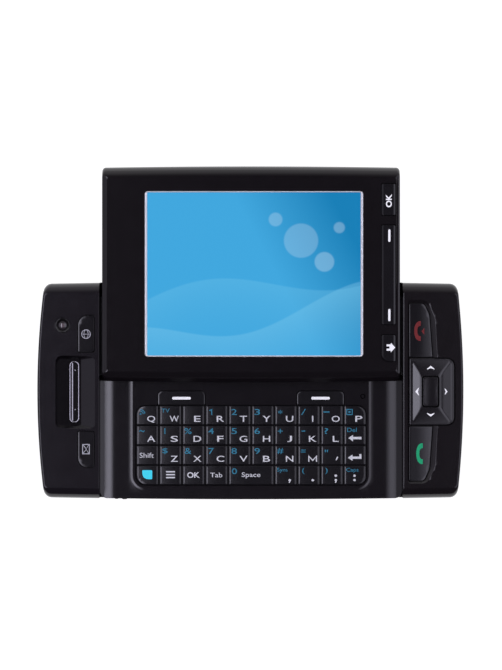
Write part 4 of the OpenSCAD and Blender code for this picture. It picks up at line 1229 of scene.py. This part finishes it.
def slider_front():
    m = Mesh()
    zs = levels([SSPLIT + 0.04, ZS - BAND_H],
                [ZS - BAND_H + SB_R * math.sin(math.radians(a)) for a in (8, 16, 24, 32, 40, 47, 54, 60, 66, 71, 76, 79)],
                [z for s in (-1, 1) for z, _ in FACET[s][1:]], [16.2, 16.6, 17.0, 17.4, ZS - BAND_H + SB_R * math.sin(math.radians(45.5))])
    a = m.ring(seam(slider_outline(SSPLIT, False)), SSPLIT)
    bottom = a
    for z in zs:
        b = m.ring(slider_outline(z, False), z)
        m.strip(a, b)
        a = b
    b = m.ring(slider_outline(ZS, False, more=0.12), ZS)
    m.strip(a, b)
    a = b
    tops = []

    def hole(q, prof, n=6):
        prev = None
        for g, z in prof:
            c = m.ring(rpoly(off(q, -g), n), z)
            if prev is None:
                tops.append(c)
            else:
                m.strip(c, prev)
            prev = c
        m.cap(prev, (), None, 0)

    hole(rect(TX0, TX1, TY0, TY1, 0.9), [(0.10, ZS), (0.03, ZS - 0.03), (0.0, ZS - 0.1), (0, ZS - 1.4)])
    for q in (OKQ, STRIPQ, HOMEQ):
        hole(q, [(0.14, ZS), (0.125, ZS - 0.02), (0.11, ZS - 0.10), (0.11, 16.5)])
    m.cap(a, tops, lambda x, y: ZS, 2.0)
    m.cap(bottom, (), None, 0, up=False)
    return m


front_o = place(slider_front().obj("front_shell", "front", 14), "slider", "front_black", "slider_front")
# faces turned towards -Y take the dull copy: painted shade
front_o.data.materials.append(MAT["front_edge"])
for p in front_o.data.polygons:
    if p.normal.y < -0.6 and p.center.z > 0.014:
        p.material_index = 1


def slider_back():
    m = Mesh()
    zs = [11.4 + 1.0 * (1 - math.cos(math.radians(a))) for a in (25, 45, 62, 76, 90)]
    zs = levels(zs, [12.0, 12.4, SSPLIT - 0.04])
    a = m.ring(slider_outline(11.4, True), 11.4)
    bottom = a
    for z in zs:
        b = m.ring(slider_outline(z, True), z)
        m.strip(a, b)
        a = b
    b = m.ring(seam(slider_outline(SSPLIT, True)), SSPLIT)
    m.strip(a, b)
    m.cap(b, (), None, 0)
    m.cap(bottom, (), None, 0, up=False)
    return m


back_o = slider_back().obj("back_tray", "housing")
cut(back_o, [("box", -8.2, 8.2, SY - 27.5, SY + 10.2, 10, 12.8),
             ("box", -7.6, 7.6, SY + 7.6, SY + 8.8, 12, 14.6),
             ("box", 39.1, 42, SY - 27.65, SY - 6.05, 12.45, 14.35),
             ("box", -42, -39.1, SY - 27.65, SY - 6.05, 12.45, 14.35)]
    + [("rod", x, SY + y, 1.3, 10, 12.45) for x, y in ((-36.5, -26), (-36.5, 26.1), (33.9, -26), (33.9, 26.1))])
place(back_o, "slider", "housing_black", "slider_back")

# silver trim: a half-round rim, wider at its short sides
m = Mesh()
prev = None
for fx, fy, z in ((0.0, 0.0, 17.85), (0.0, 0.0, 18.86), (0.06, 0.05, 18.95), (0.20, 0.13, 18.995), (0.40, 0.22, 18.985), (0.58, 0.30, 18.93), (0.70, 0.37, 18.82), (0.73, 0.385, 17.9)):
    q = rect(TX0 + 0.02 + fx, TX1 - 0.02 - fx, TY0 + 0.02 + fy, TY1 - 0.02 - fy, max(0.25, 0.88 - fx))
    c = m.ring(rpoly(q, 8), z)
    if prev is None:
        first = c
    else:
        m.strip(prev, c)
    prev = c
m.strip(prev, first)
place(m.obj("screen_trim", "trim", 40), "slider", "trim_silver", "display_trim")

m = Mesh()
plate(m, rect(TX0 + 0.76, TX1 - 0.76, TY0 + 0.41, TY1 - 0.41, 0.3), 17.95, 18.74, 0.04, 5, None, (), 3.0, 2)
place(m.obj("screen_pane", "screen", 5), "slider", "screen", "display_window")


def side_key_cap(q, name, node, marks):
    """A front key: a flat cap with a bevel along its two long sides."""
    m = Mesh()
    zt = ZS - 0.04
    prev = None
    for dx, dy, z in ((0.05, 0.05, 16.85), (0.0, 0.0, 16.95), (0.0, 0.0, zt - 0.26), (0.08, 0.03, zt - 0.19), (0.46, 0.08, zt - 0.03), (0.56, 0.16, zt)):
        qq = []
        cx, cy = sum(p[0] for p in q) / 4, sum(p[1] for p in q) / 4
        for px, py, r in q:
            qq.append((px + (dx if px < cx else -dx), py + (dy if py < cy else -dy), max(0.08, r - dx * 0.7)))
        c = m.ring(rpoly(qq, 6), z)
        if prev is None:
            m.cap(c, (), None, 0, up=False)
        else:
            m.strip(prev, c)
        prev = c
    m.cap(prev, (), lambda x, y: zt, 1.5)
    place(m.obj(name, "hkey", 6), node, "housing_key_black", node)
    W = Marks(lambda x, y: zt, 0.02)
    marks(W)
    place(W.obj(name + "_mark", "lit"), node, "legend_white")


def house(W):
    cx, cy = 38.05, 11.75
    W.poly([(cx + 1.25, cy), (cx + 0.05, cy + 1.3), (cx + 0.05, cy + 0.85), (cx - 1.1, cy + 0.85), (cx - 1.1, cy + 0.3), (cx - 0.3, cy + 0.3), (cx - 0.3, cy - 0.3), (cx - 1.1, cy - 0.3), (cx - 1.1, cy - 0.85), (cx + 0.05, cy - 0.85), (cx + 0.05, cy - 1.3)])


side_key_cap(OKQ, "front_ok_cap", "front_ok_key", lambda W: W.text("OK", 37.55, 51.65, 1.5, 1.08, 0.03, 90))
side_key_cap(STRIPQ, "softkey_rocker_cap", "softkey_rocker", lambda W: (W.bar(37.4, 38.0, 40.55, 43.95), W.bar(37.4, 38.0, 18.95, 22.25)))
side_key_cap(HOMEQ, "home_cap", "home_key", house)


# ---------------------------------------------------------------- keys on the ends
def housing_cap(q, name, node, top, zf, mat="hkey", edge=0.22, grid=0.8):
    m = Mesh()
    plate(m, q, 16.55, top, edge, 7, zf, (), grid, 5)
    return place(m.obj(name, mat, 12), node, "housing_key_black", node)


# browser and mail keys have flat tops
zb = lambda x, y: 0.0
# the cut edges of these caps are painted near-black: painted shade in the gap round each key
painted_shade_rim(housing_cap([(-47.12, 10.55, 0.4), (-42.88, 10.55, 0.6), (-42.88, 20.45, 0.8), (-47.12, 20.45, 2.6)], "browser_cap", "browser_key", 18.10, zb, edge=0.05))
painted_shade_rim(housing_cap([(-47.12, -20.95, 2.6), (-42.88, -20.95, 0.8), (-42.88, -11.15, 0.6), (-47.12, -11.15, 0.4)], "mail_cap", "mail_key", 18.10, zb, edge=0.05))
W = Marks(lambda x, y: 18.10 + zb(x, y), 0.02)
gx, gy, gr = -44.98, 15.4, 1.18
W.arc(gx, gy, gr, 0, 360, 0.19, 28)
W.stroke([(gx - gr, gy), (gx + gr, gy)], 0.13)
W.arc(gx - 1.1, gy, 1.68, -43, 43, 0.13, 12)
W.arc(gx + 1.1, gy, 1.68, 137, 223, 0.13, 12)
place(W.obj("browser_mark", "bars"), "browser_key", "legend_white")
W = Marks(lambda x, y: 18.10 + zb(x, y), 0.02)
ex, ey = -45.0, -15.95
W.stroke([(ex - 0.92, ey - 1.28), (ex + 0.92, ey - 1.28), (ex + 0.92, ey + 1.28), (ex - 0.92, ey + 1.28)], 0.21, True)
W.stroke([(ex - 0.85, ey - 1.2), (ex + 0.15, ey), (ex - 0.85, ey + 1.2)], 0.17)
W.stroke([(ex + 0.85, ey - 1.2), (ex + 0.2, ey - 0.35)], 0.13)
W.stroke([(ex + 0.85, ey + 1.2), (ex + 0.2, ey + 0.35)], 0.13)
place(W.obj("mail_mark", "bars"), "mail_key", "legend_white")

# end and call keys, falling away a little towards the outside
EK = [(43.1, 9.1, 0.3), (49.6, 9.1, 0.3), (48.75, 20.6, 4), (47.3, 23.8, 1.6), (43.1, 23.8, 0.5)]
CK = [(43.1, -24.7, 0.5), (47.3, -24.7, 1.6), (48.75, -21.4, 4), (49.6, -9.7, 0.3), (43.1, -9.7, 0.3)]
ze = lambda x, y: -0.006 * max(0.0, x - 45.0) ** 2
zk = lambda x, y: 0.02 - 0.024 * (x - 44.0) - 0.0065 * max(0.0, x - 45.5) ** 2
KEY_Z = 17.86
housing_cap(EK, "end_cap", "end_key", KEY_Z, ze, grid=0.7)
housing_cap(CK, "call_cap", "call_key", KEY_Z, zk, grid=0.7)


def handset(W, x0, x1, cy, h, grip, block):
    """A telephone handset: a crescent with thick ends, open to the right."""
    w, k = x1 - x0, 18
    out, inn = [], []
    for i in range(k + 1):
        a = math.radians(-90 + 180 * i / k)
        out.append((x1 - w * math.cos(a) ** 0.75 if abs(a) < 1.57 else x1, cy + h / 2 * math.sin(a)))
        inn.append((x1 - (w - grip) * max(0.0, math.cos(a)) ** 0.6, cy + (h / 2 - block) * math.sin(a)))
    W.poly(out[::-1] + inn)


W = Marks(lambda x, y: KEY_Z + zk(x, y), 0.02)
handset(W, 45.05, 46.85, -17.2, 5.7, 0.85, 1.35)
place(W.obj("call_mark", "green"), "call_key", "legend_green")
W = Marks(lambda x, y: KEY_Z + ze(x, y), 0.02)
handset(W, 44.5, 46.3, 16.25, 5.4, 0.85, 1.3)
place(W.obj("end_mark", "red"), "end_key", "legend_red")
W = Marks(lambda x, y: KEY_Z + ze(x, y), 0.02)
W.poly([(46.5, 16.2), (47.25, 15.25), (47.25, 17.1)])
place(W.obj("end_arrow_mark", "red"), "end_key", "legend_red")

# direction pad: a rim, then a surface that falls away towards all four sides
PAD = [(43.1, -9.45, 0.4), (55.5, -9.45, 2.2), (55.5, 8.85, 2.2), (43.1, 8.85, 0.4)]
hole_q = rect(46.60, 51.30, -4.55, 4.0, 0.65)
fac_q = rect(44.15, 54.45, -8.55, 7.95, 0.6)


def pad_out(x):
    return 18.15 - 0.026 * (x - 44.15)


def pad_fall(u):
    """Share of the fall at u, 0 beside the middle key and 1 at the rim."""
    return 0.55 * u + 0.7 * min(u, 0.4) ** 2 + 0.56 * max(0.0, u - 0.4)


m = Mesh()
prev = None
first = None
for d, z in ((0.08, 16.78), (0.02, 16.85), (0.02, None), (0.06, -0.14), (0.14, -0.06), (0.26, -0.02), (0.36, 0.0), (0.60, 0.0)):
    zf = (lambda x, y, z=z: z) if z and z > 1 else (lambda x, y, z=z: pad_out(x) - 0.02 + (-0.30 if z is None else z))
    c = m.ring(rpoly(off(PAD, d), 6), zf)
    if prev is None:
        first = c
    else:
        m.strip(prev, c)
    prev = c
A, B_ = np.array(rpoly(fac_q, 6)), np.array(rpoly(off(hole_q, -0.10), 6))
rings = []
for k in range(13):
    t = k / 12
    P = A + (B_ - A) * t
    n0 = len(m.v)
    for p, a in zip(P, A):
        m.v.append((p[0], p[1], 18.5 - (18.5 - pad_out(a[0])) * pad_fall(1 - t)))
    c = list(range(n0, len(m.v)))
    m.strip(prev, c)
    prev = c
for q, z in ((off(hole_q, -0.03), 18.48), (hole_q, 18.42), (hole_q, 17.5), (hole_q, 16.78)):
    c = m.ring(rpoly(q, 6), z)
    m.strip(prev, c)
    prev = c
m.strip(prev, first)
place(m.obj("pad_ring", "pad", 4), "dpad_ring", "housing_key_black", "dpad_ring")


def pad_z(x, y):
    dx = (46.5 - x) / 2.35 if x < 46.5 else (x - 51.4) / 3.05 if x > 51.4 else 0.0
    dy = (-4.65 - y) / 3.9 if y < -4.65 else (y - 4.1) / 3.85 if y > 4.1 else 0.0
    u = min(1.0, max(dx, dy))
    edge = 44.15 if dx > dy and x < 48 else 54.45 if dx > dy else 49.0 + (x - 49.0) * (1 + u * 1.1)
    return 18.5 - (18.5 - pad_out(edge)) * pad_fall(u)


W = Marks(pad_z, 0.03)
for cx, cy, a, k in ((49.0, 6.28, 90, 0.78), (49.0, -6.62, 270, 0.78), (45.3, -0.25, 180, 0.78), (53.2, -0.25, 0, 0.62)):
    c, s = math.cos(math.radians(a)), math.sin(math.radians(a))
    pts = [(0.62, 0.0), (-0.42, 1.28), (-0.66, 1.28), (-0.20, 0.0), (-0.66, -1.28), (-0.42, -1.28)]
    W.poly([(cx + k * (px * c - py * s), cy + k * (px * s + py * c)) for px, py in pts])
place(W.obj("pad_arrows", "lit"), "dpad_ring", "legend_white")

m = Mesh()
zd = lambda x, y: (0.085 if x > 49 else 0.05) * ((x - 49.0) / 2.0) ** 2 + 0.01 * ((y + 0.28) / 4.0) ** 2
plate(m, rect(46.9, 51.0, -4.25, 3.7, 0.62), 16.3, 18.42, 0.16, 6, zd, (), 0.5)
place(m.obj("select_cap", "pad", 28), "select_key", "housing_key_black", "select_key")

# ---------------------------------------------------------------- earpiece and camera
m = Mesh()
prev = None
ro, ri = rect(-49.57, -46.83, -8.77, 8.07, 1.3), rect(-49.12, -47.28, -8.32, 7.62, 0.9)
for q, z in ((ro, 16.9), (ro, 17.56), (off(ro, 0.05), 17.65), (off(ro, 0.14), 17.70), (off(ro, 0.24), 17.70), (off(ro, 0.34), 17.63), (off(ro, 0.41), 17.50), (ri, 16.95)):
    c = m.ring(rpoly(q, 8), z)
    if prev is None:
        first = c
    else:
        m.strip(prev, c)
    prev = c
m.strip(prev, first)
ring = []
for px, pz in ((-48.95, 16.95), (-48.52, 16.95), (-48.52, 17.40), (-48.62, 17.48), (-48.85, 17.48), (-48.95, 17.38)):
    n = len(m.v)
    m.v += [(px, -8.2, pz), (px, 7.5, pz)]
    ring.append(n)
for i in range(6):
    j = (i + 1) % 6
    m.f.append((ring[i], ring[j], ring[j] + 1, ring[i] + 1))
m.f.append([ring[i] for i in range(5, -1, -1)])
m.f.append([ring[i] + 1 for i in range(6)])


def revolve(m, cx, cy, prof, k=40):
    prev = None
    for r, z in prof:
        c = m.ring(circle(cx, cy, r, k), z)
        if prev is not None:
            m.strip(prev, c)
        prev = c
    return prev


# two small pins hold the grille
for py in (5.55, -5.2):
    c0 = m.ring(circle(-48.0, py, 0.22, 14), 16.95)
    m.cap(c0, (), None, 0, up=False)
    prev = c0
    for r, z in ((0.22, 17.30), (0.19, 17.38), (0.10, 17.43)):
        c = m.ring(circle(-48.0, py, r, 14), z)
        m.strip(prev, c)
        prev = c
    m.cap(prev, (), None, 0)
place(m.obj("ear_ring", "chrome", 40), "base", "ring_chrome", "earpiece_ring")

m = Mesh()
prof = [(1.97, 16.95), (1.97, 17.86), (1.94, 17.93), (1.86, 17.95), (1.78, 17.93), (1.42, 17.60), (1.30, 17.46), (1.27, 17.3), (1.27, 16.95)]
last = revolve(m, -51.4, 17.8, prof)
m.strip(last, list(range(0, 40)))
place(m.obj("camera_bezel", "camera", 35), "base", "camera_trim", "front_camera_ring")
m = Mesh()
c0 = m.ring(circle(-51.4, 17.8, 1.22), 17.2)
m.cap(c0, (), None, 0, up=False)
prev = c0
for r, z in ((1.22, 17.36), (1.12, 17.46), (0.9, 17.57), (0.62, 17.66), (0.35, 17.71)):
    c = m.ring(circle(-51.4, 17.8, r), z)
    m.strip(prev, c)
    prev = c
m.cap(prev, (), None, 0)
lens_o = m.obj("camera_glass", ["lens", "pupil"], 50)
for p in lens_o.data.polygons:
    c = p.center / MM
    if math.hypot(c.x + 51.4, c.y - 17.8) < 0.62 and c.z > 17.4:
        p.material_index = 1
place(lens_o, "base", "lens_glass", "front_camera_lens")

# ---------------------------------------------------------------- keys in the long sides
for node, x0, x1, z0, z1, ys in (("camera_key", 42.15, 45.65, 8.05, 9.95, (26.9, 29.3)),
                                 ("side_key", -38.05, -33.55, 6.45, 8.25, (-27.3, -29.35))):
    m = Mesh()
    s = 1 if ys[1] > 0 else -1
    prev = None
    for d, y in ((0.0, ys[0]), (0.0, ys[1] - s * 0.25), (0.06, ys[1] - s * 0.10), (0.2, ys[1] - s * 0.02), (0.32, ys[1])):
        pts = rpoly(rect(x0 + d, x1 - d, z0 + d, z1 - d, max(0.1, 0.5 - d)), 5)
        n = len(m.v)
        m.v += [(x, y, z) for x, z in pts]
        c = list(range(n, n + len(pts)))
        if prev is not None:
            m.strip(prev, c, s > 0)
        else:
            m.f.append(c if s > 0 else c[::-1])
        prev = c
    m.f.append(prev[::-1] if s > 0 else prev)
    if node == "side_key":
        for cx, r, y1 in ((-36.9, 0.5, -29.85), (-34.7, 0.75, -29.94)):
            prev = None
            for rr, y in ((r, -29.2), (r, y1 + 0.2), (r * 0.85, y1 + 0.05), (r * 0.5, y1)):
                n = len(m.v)
                m.v += [(cx + rr * math.cos(2 * math.pi * i / 24), y, 7.35 + rr * math.sin(2 * math.pi * i / 24)) for i in range(24)]
                c = list(range(n, n + 24))
                if prev is not None:
                    m.strip(prev, c)
                else:
                    m.f.append(c)
                prev = c
            m.f.append(prev)
    place(m.obj(node + "_cap", "hkey", 40), node, "housing_key_black", node)

# ---------------------------------------------------------------- CAD nodes that stay
STAY = {
    "back_housing": "housing", "battery_cover": "housing", "keypad_mat": "rubber", "dome_board": "gold",
    "main_board": "board", "shield_cans": "steel", "battery_pack": "battery", "usb_socket": "steel",
    "earpiece_mesh": "mesh", "earpiece_speaker": "module", "front_camera_module": "module",
    "rear_camera_lens": "lens", "rear_camera_module": "module", "loudspeaker": "module", "vibration_motor": "steel",
    "slide_rails": "rail", "housing_screws": "screw", "key_boards": "board", "sim_holder": "steel",
    "lcd_module": "steel", "slider_board": "board", "slide_runners": "rail", "display_flex": "flex",
    "slider_screws": "screw", "dpad_actuator": "rubber",
}
for node, mat in STAY.items():
    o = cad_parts[node]
    o.data.materials.clear()
    o.data.materials.append(MAT[mat])
    for p in o.data.polygons:
        p.material_index = 0

# ---------------------------------------------------------------- floor, light, camera
fm = pmat("pale_floor", (0.25, 0.25, 0.25), 0.85, bump=0.02, scale=40, bump_scale=300, var=0.01, spec=0.1)
fb = fm.node_tree.nodes["Principled BSDF"]
fb.inputs["Emission Color"].default_value = (1, 1, 1, 1)
fb.inputs["Emission Strength"].default_value = 0.96
me = bpy.data.meshes.new("floor")
me.from_pydata([(-1.2, -1.2, -0.00005), (1.2, -1.2, -0.00005), (1.2, 1.2, -0.00005), (-1.2, 1.2, -0.00005)], [], [(0, 1, 2, 3)])
floor = bpy.data.objects.new("floor", me)
me.materials.append(fm)
bpy.context.scene.collection.objects.link(floor)


def tan(a):
    return math.tan(math.radians(a))


def strip_light(name, side, lo, hi, radiance, near=-24.0, far=24.0, high=2.6, color=(0.86, 0.84, 1.0)):
    """A soft box overhead at one side (-1 is left); all four edges in degrees off straight up."""
    x0, x1, y0, y1 = tan(lo) * high, tan(hi) * high, tan(near) * high, tan(far) * high
    li = bpy.data.lights.new(name, "AREA")
    li.shape = "RECTANGLE"
    li.size, li.size_y, li.color = x1 - x0, y1 - y0, color
    li.energy = radiance * math.pi * li.size * li.size_y
    o = bpy.data.objects.new(name, li)
    o.location = (side * (x0 + x1) / 2, 0.012 + (y0 + y1) / 2, high)
    bpy.context.scene.collection.objects.link(o)
    return o


for side, k in ((-1, 1.0), (1, 0.40)):
    for i, (half, level) in enumerate(((7.8, 1.7), (5.2, 1.85), (2.6, 1.7))):
        strip_light(f"strip_{'left' if side < 0 else 'right'}_{i}", side, 13.4 - half, 13.4 + half, level * k, high=2.60 + 0.04 * i)
strip_light("panel_left", -1, 24, 58, 0.45, -30, 30, 2.5)
strip_light("panel_right", 1, 24, 58, 1.2, -30, 30, 2.5)

# the room behind the far side is pale near the floor and dark overhead
world = bpy.data.worlds.new("studio")
world.use_nodes = True
wt = world.node_tree
bg = wt.nodes["Background"]
tc = wt.nodes.new("ShaderNodeTexCoord")
sp = wt.nodes.new("ShaderNodeSeparateXYZ")
wt.links.new(tc.outputs["Generated"], sp.inputs[0])
ramp = wt.nodes.new("ShaderNodeValToRGB")
stops = ((0.0, 0.88), (0.24, 0.74), (0.42, 0.66), (0.57, 0.49), (0.71, 0.29), (0.82, 0.16), (0.90, 0.065), (1.0, 0.0))
while len(ramp.color_ramp.elements) < len(stops):
    ramp.color_ramp.elements.new(0.5)
for e, (p, v) in zip(ramp.color_ramp.elements, stops):
    e.position = p
    e.color = (v * 0.97, v * 0.96, v, 1)
wt.links.new(sp.outputs[2], ramp.inputs["Fac"])
side = wt.nodes.new("ShaderNodeMapRange")
side.inputs["From Min"].default_value = 0.10
side.inputs["From Max"].default_value = 0.45
side.inputs["To Min"].default_value = 0.0
side.inputs["To Max"].default_value = 1.0
wt.links.new(sp.outputs[1], side.inputs["Value"])
low = wt.nodes.new("ShaderNodeMixRGB")
low.blend_type = "MIX"
low.inputs[1].default_value = (0.060, 0.058, 0.064, 1)
wt.links.new(side.outputs[0], low.inputs[0])
wt.links.new(ramp.outputs["Color"], low.inputs[2])
wt.links.new(low.outputs[0], bg.inputs["Color"])
bg.inputs["Strength"].default_value = 1.0
bpy.context.scene.world = world
bpy.context.scene.view_settings.view_transform = "Standard"
bpy.context.scene.view_settings.look = "None"

cam = bpy.data.cameras.new("camera")
D = 1.5
cam.sensor_width = 36.0
cam.lens = 36.0 * D / (0.670 / 3.66)
cam.clip_start, cam.clip_end = 0.01, 10
co = bpy.data.objects.new("camera", cam)
co.location = (0.0, (390.5 - 335) / 3.66 * MM, 0.015 + D)
bpy.context.scene.collection.objects.link(co)
bpy.context.scene.camera = co
